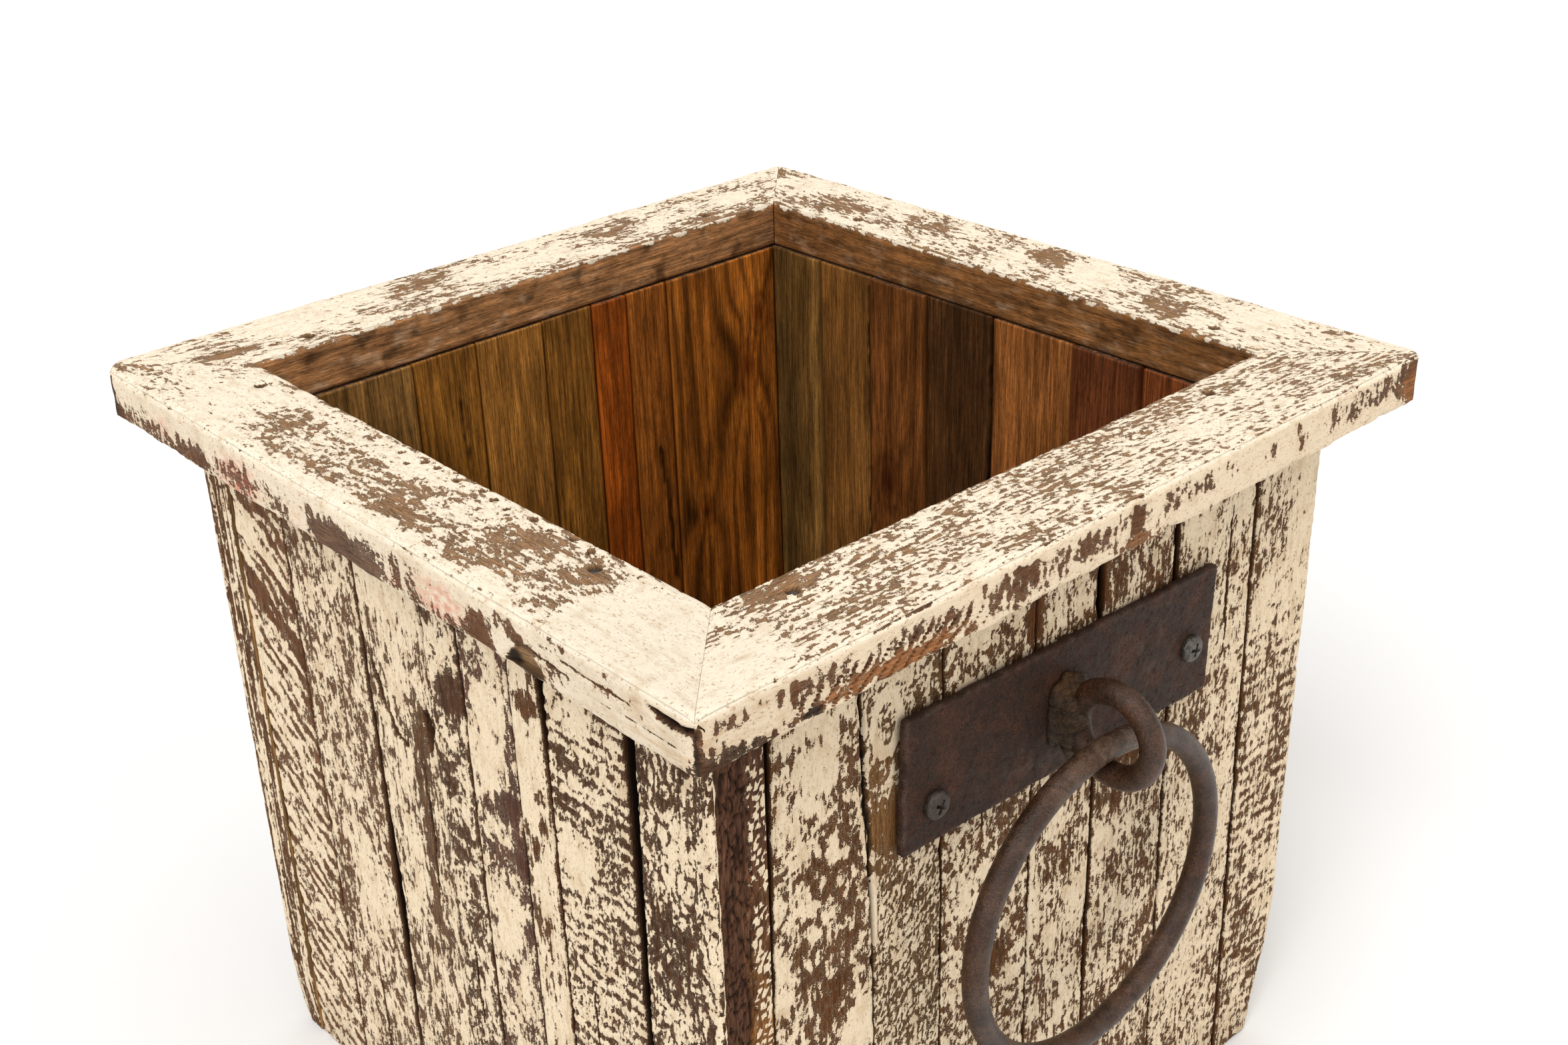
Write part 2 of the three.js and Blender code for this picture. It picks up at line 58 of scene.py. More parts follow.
# seams: [z, position, half gap]; position runs left to right as the wall is seen from outside
WALLS = {
    "front": ([
        [[0, -114.0, 0], [145, -113.9, 0], [185, -113.2, 0], [STAVE_H, -111.6, 0]],
        [[0, -76.4, 0.25], [140, -76.0, 0.3], [170, -76.6, 0.4], [200, -79, 0.5], [230, -80, 0.6], [STAVE_H, -80.4, 0.5]],
        [[0, -48, 0.25], [STAVE_H, -48, 0.3]],
        [[0, -9, 0.25], [STAVE_H, -9.4, 0.3]],
        [[0, 20.4, 0.25], [80, 20.3, 0.5], [115, 20.2, 0.9], [145, 20, 0.55], [215, 19.6, 0.6], [232, 19, 1.4], [STAVE_H, 19, 0.8]],
        [[0, 58.8, 0.6], [88, 58, 0.8], [130, 57, 0.8], [180, 56, 1.1], [STAVE_H, 55, 1.9]],
        [[0, 100.5, 0.5], [120, 98.4, 0.7], [STAVE_H, 95.6, 0.5]],
        END(BODY)], [18.4, 18.8, 19, 18.2, 18.9, 18.5, 19]),
    "right": ([
        END(-113.2), [[0, -70.3, 0.3], [STAVE_H, -70, 0.7]], [[0, -40, 0.25], [STAVE_H, -40, 0.25]],
        [[0, -2, 0.4], [STAVE_H, -2, 0.9]], [[0, 31, 0.25], [STAVE_H, 31, 0.25]],
        [[0, 60.5, 0.25], [STAVE_H, 60.5, 0.25]], [[0, 88, 0.25], [STAVE_H, 88, 0.3]], END(BODY)],
        [18.6, 19, 18.3, 17.9, 19, 18.5, 18.9]),
    "back": ([
        END(-113.2), [[0, -58, 0.25], [STAVE_H, -58, 0.3]], [[0, -38, 0.25], [STAVE_H, -38, 0.25]],
        [[0, -22, 0.3], [STAVE_H, -22, 0.25]], [[0, 1, 0.25], [STAVE_H, 1, 0.25]],
        [[0, 30, 0.15], [STAVE_H, 30, 0.16]], [[0, 57, 0.15], [STAVE_H, 57, 0.15]], END(BODY)],
        [19, 18.5, 18.9, 18.2, 18.8, 18.4, 19]),
    "left": ([
        END(-113.2), [[0, -80, 0.25], [STAVE_H, -79.3, 0.3]],
        [[0, -38, 0.4], [60, -37.5, 0.8], [108, -37.5, 2.2], [150, -37, 1.0], [STAVE_H, -38, 0.4]],
        [[0, 0, 0.3], [200, 0, 0.4], [228, 0, 0.9], [STAVE_H, 0, 0.3]],
        [[0, 19, 0.25], [STAVE_H, 19, 0.25]],
        [[0, 44, 0.3], [95, 44, 0.6], [205, 44, 0.7], [STAVE_H, 44, 0.3]],
        [[0, 60, 0.3], [200, 60, 0.4], [235, 59.3, 1.6], [STAVE_H, 59, 1.8]],
        [[0, 97.5, 0.9], [120, 98, 1.6], [200, 98.6, 2.5], [STAVE_H, 98.9, 3.0]],
        END(BODY)], [18.8, 18.4, 19, 18.3, 18.8, 18.5, 19, 18.2]),
}
WORN_FRONT_RIGHT = [(0, 122), (20, 126), (40, 130.5), (56, 132.5)]
WORN_REAR_LEFT = [(0, 125), (7, 128.5), (17, 131.3), (28, 132.5)]
NAILS = {"front": [(-95, -123.1), (78, -123.1)], "right": [(123.1, -92), (123.1, 75)],
         "back": [(86, 123.1), (-90, 123.1)], "left": [(-123.1, 96), (-123.1, -78)]}


def to_world(wall, a, d, z):
    if wall == "front":
        return a, -d, z
    if wall == "right":
        return d, a, z
    if wall == "back":
        return -a, d, z
    return -d, -a, z


# ---------------------------------------------------------------- noise
_rs = np.random.RandomState(20611)
_P = _rs.permutation(512).astype(np.int64)
_A = _rs.rand(512) * 2 * np.pi
_GX, _GY = np.cos(_A), np.sin(_A)
_V = _rs.rand(512)


def _h(ix, iy, s):
    return _P[(_P[(_P[(ix + s * 57) & 511] + iy) & 511] + s * 131) & 511]


def noise(x, y, s=0):
    """Gradient noise, about -1 to 1."""
    x, y = np.broadcast_arrays(np.asarray(x, float), np.asarray(y, float))
    ix = np.floor(x)
    iy = np.floor(y)
    fx = x - ix
    fy = y - iy
    ix = ix.astype(np.int64)
    iy = iy.astype(np.int64)
    u = fx * fx * fx * (fx * (fx * 6 - 15) + 10)
    v = fy * fy * fy * (fy * (fy * 6 - 15) + 10)

    def g(i, j):
        k = _h(ix + i, iy + j, s)
        return _GX[k] * (fx - i) + _GY[k] * (fy - j)
    a, b, c, d = g(0, 0), g(1, 0), g(0, 1), g(1, 1)
    lo = a + (b - a) * u
    return (lo + ((c + (d - c) * u) - lo) * v) * 1.5


def fbm(x, y, s=0, octaves=4, gain=0.5):
    t, a, n, f = 0, 1.0, 0, 1.0
    for k in range(octaves):
        t = t + a * noise(np.asarray(x) * f, np.asarray(y) * f, s + k)
        n += a * a
        a *= gain
        f *= 2.03
    return t / np.sqrt(n)


def cells(x, y, s=0):
    """Distances to the nearest and second nearest of jittered points."""
    x, y = np.broadcast_arrays(np.asarray(x, float), np.asarray(y, float))
    ix = np.floor(x).astype(np.int64)
    iy = np.floor(y).astype(np.int64)
    b1 = np.full(x.shape, 9.0)
    b2 = np.full(x.shape, 9.0)
    for i in (-1, 0, 1):
        for j in (-1, 0, 1):
            k = _h(ix + i, iy + j, s)
            r = (x - (ix + i + _V[k])) ** 2 + (y - (iy + j + _V[(k + 77) & 511])) ** 2
            b2 = np.minimum(b2, np.maximum(b1, r))
            b1 = np.minimum(b1, r)
    return np.sqrt(b1), np.sqrt(b2)


def smooth(a, b, x):
    t = np.clip((x - a) / (b - a), 0, 1)
    return t * t * (3 - 2 * t)


def spot(u, z, cu, cz, ru, rz, ang=0.0, soft=0.35):
    """1 inside an ellipse, fading to 0 outside it."""
    a = np.radians(ang)
    c, s = np.cos(a), np.sin(a)
    x = (u - cu) * c + (z - cz) * s
    y = -(u - cu) * s + (z - cz) * c
    r = np.sqrt((x / ru) ** 2 + (y / rz) ** 2)
    return 1 - smooth(1 - soft, 1 + soft, r)


def line_distance(u, z, pts):
    """Distance from (u, z) to a polyline, and the fraction along it."""
    best = np.full(np.shape(u), 1e9)
    where = np.zeros(np.shape(u))
    n = len(pts) - 1
    for i in range(n):
        (x0, y0), (x1, y1) = pts[i], pts[i + 1]
        dx, dy = x1 - x0, y1 - y0
        t = np.clip(((u - x0) * dx + (z - y0) * dy) / (dx * dx + dy * dy), 0, 1)
        r = np.hypot(u - x0 - t * dx, z - y0 - t * dy)
        m = r < best
        best = np.where(m, r, best)
        where = np.where(m, (i + t) / n, where)
    return best, where

# ---------------------------------------------------------------- paint
# cover: how much paint is left; big, mid, fine: (strength, size in mm); aspect: length
# over width of a fleck; lean: degrees the flecks lean; saw: (pitch in mm, angle, strength)
BASE = dict(cover=0.15, big=(0.45, 16), mid=(0.55, 3.6), fine=(0.42, 1.35), aspect=1.9, lean=0.0,
            saw=None, streak=0.25, wood=(0.104, 0.040, 0.012), paint=(0.80, 0.665, 0.475), seed=1,
            crust=0.0, proud=0.0)


def style(**k):
    d = dict(BASE)
    d.update(k)
    return d


def paint_field(st, u, z):
    """Above 0 where paint is left, below 0 where the wood is bare."""
    s = st["seed"] * 13
    a = np.radians(st["lean"])
    c, sn = np.cos(a), np.sin(a)
    p = u * c - z * sn
    q = u * sn + z * c
    asp = st["aspect"]
    w1 = noise(u / 9.0, z / 14.0, s + 1) * 1.6
    w2 = noise(u / 9.0 + 31, z / 14.0 + 17, s + 2) * 2.4
    p = p + w1
    q = q + w2
    F = st["cover"] + 0 * u
    b, bs = st["big"]
    F = F + b * fbm(p / bs, q / (bs * asp * 0.9), s + 3, 2)
    m, ms = st["mid"]
    F = F + m * fbm(p / ms, q / (ms * asp), s + 5, 3, 0.55)
    f, fs = st["fine"]
    F = F + f * fbm(p / fs, q / (fs * asp), s + 8, 2, 0.6)
    if st["streak"]:
        F = F + st["streak"] * noise(u / 0.75 + w1 * 0.2, z / 13.0, s + 11)
    if st["saw"]:
        pitch, ang, amp = st["saw"][:3]
        r = np.radians(ang)
        t = (z * np.cos(r) + u * np.sin(r)) / pitch + 0.35 * noise(u / 14.0, z / 14.0, s + 13) + 0.22 * noise(u / 5.0, z / 6.0, s + 15)
        if len(st["saw"]) > 3:
            amp = amp * smooth(st["saw"][3] + 14, st["saw"][3] - 14, z)
        F = F + amp * np.sin(2 * np.pi * t) * np.clip(0.62 + 1.1 * noise(u / 9.0 + 5, z / 12.0, s + 14), 0, 1.4)
    if st["crust"]:
        c1, c2 = cells(p / 3.2, q / 5.2, s + 17)
        F = F + st["crust"] * (smooth(0.02, 0.3, c2 - c1) - 0.55)
    return F


def add_patches(F, u, z, patches, gain=0.75, seed=900):
    wu = u + 1.6 * fbm(u / 4.0, z / 6.0, seed, 2)
    wz = z + 2.4 * fbm(u / 4.0 + 9, z / 6.0, seed + 4, 2)
    for cu, cz, ru, rz, ang, k in patches:
        near = (np.abs(u - cu) < max(ru, rz) * 1.9 + 4) & (np.abs(z - cz) < max(ru, rz) * 1.9 + 5)
        if near.any():
            F[near] += gain * k * spot(wu[near], wz[near], cu, cz, ru, rz, ang, 0.5)
    return F


# patches: (u, z, half width, half height, angle, strength), + keeps paint
PATCHES = {}
PATCHES["front"] = [
    (-98, 238, 14, 20, 0, 0.55), (-100, 212, 12, 10, 10, 0.25), (-88, 196, 7, 13, -14, -0.35), (-96, 165, 13, 22, 0, -0.2),
    (-84, 172, 4, 26, 0, -0.2), (-104, 181, 5, 9, 0, 0.35), (-83, 128, 6, 7, -40, 0.9), (-90, 139, 8, 8, 0, -0.5),
    (-110, 150, 3, 20, 0, 0.3), (-100, 100, 12, 22, 0, 0.25), (-98, 60, 10, 22, 10, -0.3), (-92, 22, 12, 18, 0, 0.3),
    (-62, 243, 14, 8, 0, 0.45), (-58, 212, 4, 14, 0, -0.6), (-66, 205, 6, 6, 0, 0.35), (-61, 190, 9, 9, 0, -0.45),
    (-70, 205, 4, 6, 0, 0.5), (-50, 235, 2.2, 12, 0, -0.5), (-36, 236, 8, 4, 0, 0.4), (-25, 229, 9, 5, -35, -0.35),
    (-10, 232, 4, 8, 0, -0.9), (4, 230, 8, 7, 0, 0.35), (10, 224, 7, 4, 0, -0.3), (19, 232, 3.5, 9, 0, -0.7),
    (29, 234, 4, 8, 0, -0.55), (41, 231, 9, 7, 0, 0.15), (66, 232, 7, 8, 0, 0.45), (88, 236, 7, 10, 0, 0.3),
    (80, 205, 6, 16, 0, 0.1), (91, 190, 5, 20, 0, 0.2), (110, 190, 12, 14, 0, 0.35), (125, 205, 6, 40, 0, 0.4),
    (-20, 165, 16, 9, -30, -0.1), (5, 166, 9, 14, 0, 0.35), (44, 163, 8, 16, 0, -0.45), (30, 176, 8, 26, 0, -0.4), (30, 136, 6, 8, 0, 0.35), (-30, 238, 5, 9, -30, 0.35), (-34, 150, 6, 9, -30, 0.4), (-14, 112, 7, 8, -30, 0.35), (64, 190, 5, 10, -20, 0.35), (38, 105, 7, 9, -30, 0.4), (78, 142, 6, 9, -25, -0.4), (119, 236, 12, 14, 0, 0.35), (118, 120, 10, 18, 0, -0.15),
    (70, 158, 9, 18, 0, -0.3), (53, 140, 4, 24, 0, 0.25), (16, 120, 9, 10, 0, 0.3), (-26, 118, 10, 7, 35, -0.55),
    (-25, 143, 8, 10, 0, 0.1), (60, 96, 4, 4, 0, 0.8), (76, 118, 8, 12, 0, 0.25), (25, 88, 12, 10, 0, 0.2),
    (45, 120, 9, 14, 0, -0.1), (92, 120, 4, 30, 0, 0.35), (112, 150, 10, 6, 0, -0.2), (128, 60, 6, 30, 0, 0.15),
    (70, 60, 12, 20, 0, 0.3), (110, 40, 14, 20, 0, -0.15), (-20, 60, 14, 20, 20, 0.2), (8, 40, 10, 20, 0, -0.2),
    (-62, 90, 10, 20, 0, 0.15), (-60, 30, 10, 18, 0, -0.2), (-8, 130, 1.2, 30, 0, 0.5),
]
# the left wall's patches are placed by y (rear +)
PATCHES["left"] = [
    (95, 236, 14, 8, -20, -0.35), (104, 243, 10, 6, 0, -0.3), (85, 228, 8, 12, 0, -0.3), (96, 193, 21, 5.5, 34, -1.0), (100, 216, 20, 3.0, 25, 0.7),
    (110, 221, 8, 7, 0, 0.4), (92, 206, 22, 2.2, 28, -0.5), (100, 150, 10, 40, 0, 0.05), (112, 175, 5, 40, 0, 0.25), (82, 160, 4, 40, 0, -0.25),
    (64, 225, 12, 20, 0, -0.1), (68, 245, 8, 6, 0, 0.4), (58, 100, 10, 20, 0, 0.45), (70, 90, 8, 30, 0, -0.2), (48, 160, 7, 30, 0, -0.2),
    (30, 236, 7, 14, 0, 0.7), (12, 232, 8, 14, 0, 0.7), (22, 236, 5, 20, 0, 0.5), (16, 205, 10, 6, 0, 0.3), (10, 182, 9, 4, -25, -0.4),
    (30, 205, 6, 6, 0, -0.1), (28, 170, 8, 12, 0, 0.2), (12, 150, 4, 40, 0, -0.45), (22, 140, 5, 30, 0, 0.3), (30, 120, 6, 20, 0, 0.25),
    (-7, 243, 6, 5, 0, -0.5), (-13, 207, 6.5, 8, 0, -1.0), (-6, 222, 8, 8, 0, 0.45), (-8, 175, 7, 6, 0, -0.35), (-9, 165, 8, 4, 0, 0.3),
    (-8, 152, 8, 7, 0, -0.3), (-8, 125, 7, 6, 0, -0.25),
    (-22, 235, 2.5, 14, 8, -0.9), (-35, 240, 8, 8, 0, 0.5), (-36, 216, 9, 10, 0, 0.6), (-26, 195, 8, 13, 0, 0.6), (-41, 200, 2.0, 40, 0, -0.6),
    (-35, 178, 9, 4.5, -30, -0.55), (-22, 176, 3, 8, 0, -0.3), (-34, 160, 9, 5, 0, -0.7), (-25, 155, 3, 4, 0, 0.4), (-35, 146, 8, 4, -35, -0.2),
    (-30, 140, 9, 8, 0, 0.5), (-33, 127, 10, 6, 0, 0.3), (-42, 130, 3, 18, 0, -0.3),
    (-49, 240, 5, 12, 0, 0.7), (-52, 222, 5, 5, 30, -0.9), (-51, 200, 6, 18, 0, 0.6), (-56, 208, 2.5, 10, 0, 0.3), (-55, 192, 2.2, 2.4, 0, -1.1),
    (-55, 183, 2.2, 3, 0, -0.8), (-51, 172, 2, 4, 0, -0.9), (-53, 160, 5, 14, 0, 0.4), (-50, 145, 4, 8, 0, -0.4),
    (-63, 240, 4, 12, 0, 0.3), (-76, 236, 4, 10, 0, 0.4), (-88, 240, 3, 9, 0, -0.5), (-72, 228, 8, 5, 0, 0.4), (-70, 212, 9, 2.6, 8, -0.7),
    (-70, 178, 8, 9, 0, 0.8), (-88, 195, 8, 12, 0, -0.25), (-66, 196, 6, 4, 0, -0.5), (-85, 178, 6, 6, 0, -0.3), (-78, 204, 10, 3, 0, 0.4),
    (-90, 160, 5, 10, 0, -0.3), (-106, 240, 3.5, 16, 0, 0.2), (-117, 205, 9, 14, 0, 0.3), (-129.5, 190, 1.8, 70, 0, 0.35), (-110, 170, 8, 14, 0, -0.35),
    (-120, 175, 4, 20, 0, -0.3), (-111, 225, 8, 14, 0, -0.25),
]
PATCHES["right"] = [
    (-90, 225, 14, 20, 0, 0.4), (-92, 170, 8, 26, 10, -0.4), (-55, 200, 9, 24, 0, 0.3), (-52, 120, 10, 16, 0, -0.45), (-20, 235, 12, 8, 0, -0.4),
    (-22, 170, 10, 20, -12, 0.4), (-18, 90, 12, 24, 0, -0.3), (14, 215, 9, 16, 0, -0.5), (18, 140, 8, 22, 0, 0.4), (10, 60, 12, 22, 0, 0.3),
    (46, 228, 10, 12, 0, 0.5), (44, 170, 5, 30, 0, -0.5), (48, 80, 9, 20, 0, 0.3), (74, 205, 9, 14, 20, 0.4), (72, 130, 8, 24, 0, -0.35),
    (110, 235, 12, 8, 0, -0.3), (104, 190, 10, 18, 0, 0.35), (120, 120, 8, 40, 0, 0.3), (100, 60, 10, 20, 0, -0.3), (-95, 60, 12, 24, 0, 0.3),
]
PATCHES["back"] = [
    (-95, 230, 10, 14, 0, 0.4), (-80, 165, 12, 22, -10, -0.35), (-100, 90, 10, 26, 0, 0.3), (-48, 210, 7, 22, 0, -0.4), (-48, 110, 7, 26, 0, 0.3),
    (-30, 170, 6, 30, 0, 0.35), (-12, 225, 9, 12, 0, 0.4), (-10, 140, 8, 20, 0, -0.4), (15, 195, 10, 18, 0, 0.3), (16, 80, 12, 22, 0, -0.3),
    (44, 230, 10, 10, 0, -0.5), (42, 150, 9, 26, 0, 0.4), (75, 205, 10, 20, 15, -0.4), (84, 120, 14, 26, 0, 0.35), (112, 220, 12, 16, 0, 0.35),
    (120, 150, 8, 30, 0, -0.35), (100, 60, 14, 20, 0, 0.25), (60, 60, 8, 24, 0, -0.3),
]
STAVES = {
    "front_stave_1": style(seed=1, cover=0.05, big=(0.38, 14), mid=(0.62, 3.8), fine=(0.42, 1.3), aspect=1.7, lean=-8, proud=0.3),
    "front_stave_2": style(seed=2, cover=0.0, big=(0.22, 12), mid=(0.50, 2.1), fine=(0.62, 1.0), aspect=1.3, wood=(0.105, 0.049, 0.016),
                           paint=(0.76, 0.63, 0.45), proud=0.7),
    "front_stave_3": style(seed=3, cover=0.03, big=(0.28, 11), mid=(0.52, 2.3), fine=(0.52, 1.0), aspect=2.0, lean=-32, saw=(7, -30, 0.16), proud=0.45),
    "front_stave_4": style(seed=4, cover=0.08, big=(0.33, 11), mid=(0.50, 2.5), fine=(0.50, 1.0), aspect=2.0, lean=-20, streak=0.45, proud=0.5),
    "front_stave_5": style(seed=5, cover=-0.01, big=(0.33, 12), mid=(0.52, 2.6), fine=(0.50, 1.0), aspect=2.0, lean=-18, streak=0.4, proud=0.2),
    "front_stave_6": style(seed=6, cover=0.13, big=(0.3, 12), mid=(0.52, 2.6), fine=(0.50, 1.0), aspect=1.6, lean=-15, streak=0.35, proud=0.6),
    "front_stave_7": style(seed=7, cover=0.08, big=(0.3, 13), mid=(0.46, 3.2), fine=(0.42, 1.2), aspect=1.3, saw=(5.0, 4, 0.24, 190), streak=0.4, proud=0.1),
    "left_stave_1": style(seed=21, wood=(0.140, 0.060, 0.026), cover=0.12, big=(0.3, 14), mid=(0.5, 3.4), fine=(0.36, 1.4), aspect=1.2, saw=(6.3, -33, 0.46), streak=0.1, proud=0.3),
    "left_stave_2": style(seed=22, wood=(0.130, 0.058, 0.025), cover=0.10, big=(0.25, 12), mid=(0.5, 3.2), fine=(0.4, 1.3), aspect=1.8, lean=14, streak=0.3, proud=0.6),
    "left_stave_3": style(seed=23, cover=0.07, big=(0.3, 10), mid=(0.5, 3.0), fine=(0.4, 1.2), aspect=2.6, lean=4, streak=0.4, wood=(0.115, 0.054, 0.024), proud=0.9),
    "left_stave_4": style(seed=24, wood=(0.080, 0.034, 0.015), cover=0.04, big=(0.4, 9), mid=(0.5, 3.0), fine=(0.45, 1.2), aspect=1.2, proud=0.2),
    "left_stave_5": style(seed=25, cover=0.16, big=(0.45, 10), mid=(0.5, 3.4), fine=(0.36, 1.2), aspect=1.5, lean=12, wood=(0.100, 0.044, 0.027), proud=0.5),
    "left_stave_6": style(seed=26, cover=0.2, big=(0.3, 10), mid=(0.42, 3.0), fine=(0.34, 1.2), aspect=2.2, streak=0.5, proud=0.15),
    "left_stave_7": style(seed=27, wood=(0.080, 0.034, 0.014), cover=0.11, big=(0.15, 10), mid=(0.5, 2.6), fine=(0.5, 1.05), aspect=1.1, saw=(4.8, 3, 0.33), streak=0.25, proud=0.5),
    "left_stave_8": style(seed=28, cover=-0.05, big=(0.25, 10), mid=(0.5, 2.8), fine=(0.45, 1.15), aspect=1.9, crust=0.5, wood=(0.072, 0.031, 0.013), proud=0.0),
    "right_stave_1": style(seed=41, cover=0.08, big=(0.3, 14), mid=(0.5, 3.2), fine=(0.4, 1.2), aspect=1.5, saw=(5.6, -8, 0.3), proud=0.2),
    "right_stave_2": style(seed=42, cover=0.05, big=(0.25, 12), mid=(0.52, 2.8), fine=(0.42, 1.1), aspect=2.0, lean=12, streak=0.4, proud=0.6),
    "right_stave_3": style(seed=43, cover=-0.12, big=(0.2, 12), mid=(0.58, 2.6), fine=(0.44, 1.1), aspect=1.3, wood=(0.170, 0.090, 0.036), proud=0.3),
    "right_stave_4": style(seed=44, cover=0.12, big=(0.4, 11), mid=(0.5, 3.2), fine=(0.4, 1.2), aspect=1.8, lean=-14, proud=0.8),
    "right_stave_5": style(seed=45, cover=0.12, big=(0.3, 12), mid=(0.45, 3.0), fine=(0.4, 1.2), aspect=1.4, saw=(5.0, 5, 0.35), proud=0.4),
    "right_stave_6": style(seed=46, cover=0.02, big=(0.3, 10), mid=(0.55, 2.9), fine=(0.42, 1.15), aspect=2.2, streak=0.45, proud=0.7),
    "right_stave_7": style(seed=47, cover=0.12, big=(0.3, 14), mid=(0.5, 3.2), fine=(0.44, 1.2), aspect=1.6, lean=8, proud=0.1),
    "back_stave_1": style(seed=51, cover=0.1, big=(0.3, 14), mid=(0.52, 3.2), fine=(0.42, 1.2), aspect=1.6, lean=-12, proud=0.5),
    "back_stave_2": style(seed=52, cover=-0.15, big=(0.2, 10), mid=(0.6, 2.6), fine=(0.44, 1.1), aspect=1.3, wood=(0.175, 0.094, 0.038), proud=0.2),
    "back_stave_3": style(seed=53, cover=0.15, big=(0.3, 10), mid=(0.5, 2.8), fine=(0.42, 1.1), aspect=2.2, streak=0.45, proud=0.7),
    "back_stave_4": style(seed=54, cover=0.1, big=(0.3, 12), mid=(0.45, 3.2), fine=(0.4, 1.2), aspect=1.3, saw=(5.4, -20, 0.4), proud=0.3),
    "back_stave_5": style(seed=55, cover=0.02, big=(0.3, 12), mid=(0.55, 2.8), fine=(0.44, 1.1), aspect=1.8, lean=15, proud=0.9),
    "back_stave_6": style(seed=56, cover=0.08, big=(0.35, 10), mid=(0.5, 3.0), fine=(0.42, 1.2), aspect=1.5, proud=0.4),
    "back_stave_7": style(seed=57, cover=0.1, big=(0.3, 14), mid=(0.5, 3.2), fine=(0.42, 1.2), aspect=1.8, lean=-6, crust=0.25, proud=0.1),
}
# cracks and worm holes in the outer faces, cut in and darkened as painted shade: (points, half width, depth)
CRACKS = {
    "front": [([(-79.6, 232), (-78.6, 212), (-77.2, 190), (-76.8, 168)], 0.9, 1.2), ([(-100, 60), (-99, 30), (-101, 5)], 0.6, 0.8),
              ([(84, 240), (83.5, 210), (84.5, 180)], 0.4, 0.5), ([(20, 128), (20.5, 100), (20, 78)], 0.9, 1.5),
              ([(-30, 205), (-31, 170)], 0.4, 0.4)],
    "left": [([(33, 199), (30, 192), (28, 186)], 1.3, 2.0), ([(26, 184), (24, 178), (17, 175)], 0.8, 1.2),
             ([(4, 195), (3, 188), (5, 180)], 2.3, 3.0), ([(10, 172), (9, 145), (11, 118)], 0.6, 0.8),
             ([(60, 70), (59, 40), (61, 15)], 0.6, 0.8), ([(-72, 140), (-73, 110), (-71, 84)], 0.4, 0.5),
             ([(-113, 130), (-114, 90), (-112, 40)], 0.5, 0.7), ([(-8, 110), (-9, 80)], 0.4, 0.5)],
    "right": [([(-92, 120), (-93, 80), (-90, 40)], 0.6, 0.9), ([(14, 240), (13, 200)], 0.6, 0.9), ([(50, 120), (49, 70)], 0.5, 0.7),
              ([(106, 235), (107, 190), (105, 160)], 0.7, 1.0)],
    "back": [([(-90, 190), (-91, 140)], 0.6, 0.9), ([(10, 240), (11, 190), (9, 160)], 0.6, 0.8), ([(78, 110), (77, 60)], 0.5, 0.8),
             ([(40, 60), (41, 20)], 0.5, 0.7)],
}
# inner faces: colour, stripe pitch, stripe contrast, knots (position along the wall, z, size)
INNER = {
    "back_stave_1": ((0.56, 0.185, 0.026), 7.5, 0.66, [(-104, 228, 4.5), (-97, 207, 6), (-72, 150, 4)]),
    "back_stave_2": ((0.40, 0.128, 0.020), 4.0, 0.36, []),
    "back_stave_3": ((0.46, 0.110, 0.012), 5.0, 0.30, []),
    "back_stave_4": ((0.40, 0.170, 0.030), 2.4, 0.50, []),
    "back_stave_5": ((0.50, 0.220, 0.046), 6.0, 0.22, []),
    "back_stave_6": ((0.46, 0.195, 0.033), 2.2, 0.50, []),
    "back_stave_7": ((0.35, 0.180, 0.052), 1.9, 0.48, []),
    "right_stave_1": ((0.26, 0.075, 0.024), 5.0, 0.30, []),
    "right_stave_2": ((0.18, 0.055, 0.020), 4.5, 0.30, []),
    "right_stave_3": ((0.40, 0.150, 0.044), 4.2, 0.38, [(-20, 150, 5)]),
    "right_stave_4": ((0.105, 0.045, 0.016), 3.6, 0.35, []),
    "right_stave_5": ((0.235, 0.085, 0.023), 5.2, 0.35, [(50, 170, 6.5)]),
    "right_stave_6": ((0.27, 0.122, 0.033), 6.0, 0.18, []),
    "right_stave_7": ((0.185, 0.098, 0.029), 3.2, 0.30, []),
    "front_stave_1": ((0.255, 0.116, 0.034), 4.0, 0.30, []),
    "front_stave_2": ((0.306, 0.136, 0.036), 5.0, 0.25, [(-62, 150, 5)]),
    "front_stave_3": ((0.221, 0.088, 0.025), 3.2, 0.35, []),
    "front_stave_4": ((0.289, 0.102, 0.023), 4.2, 0.30, []),
    "front_stave_5": ((0.238, 0.116, 0.036), 2.6, 0.35, []),
    "front_stave_6": ((0.323, 0.129, 0.029), 5.5, 0.28, [(80, 190, 5.5)]),
    "front_stave_7": ((0.187, 0.085, 0.027), 3.0, 0.35, []),
    "left_stave_1": ((0.289, 0.122, 0.032), 5.0, 0.28, []),
    "left_stave_2": ((0.212, 0.095, 0.029), 3.0, 0.35, [(60, 120, 5)]),
    "left_stave_3": ((0.306, 0.112, 0.025), 5.2, 0.28, []),
    "left_stave_4": ((0.170, 0.075, 0.023), 3.4, 0.32, []),
    "left_stave_5": ((0.281, 0.136, 0.040), 2.6, 0.35, []),
    "left_stave_6": ((0.238, 0.088, 0.023), 4.2, 0.30, []),
    "left_stave_7": ((0.264, 0.126, 0.036), 4.8, 0.28, [(-78, 200, 4.5)]),
    "left_stave_8": ((0.187, 0.088, 0.027), 3.2, 0.35, []),
}
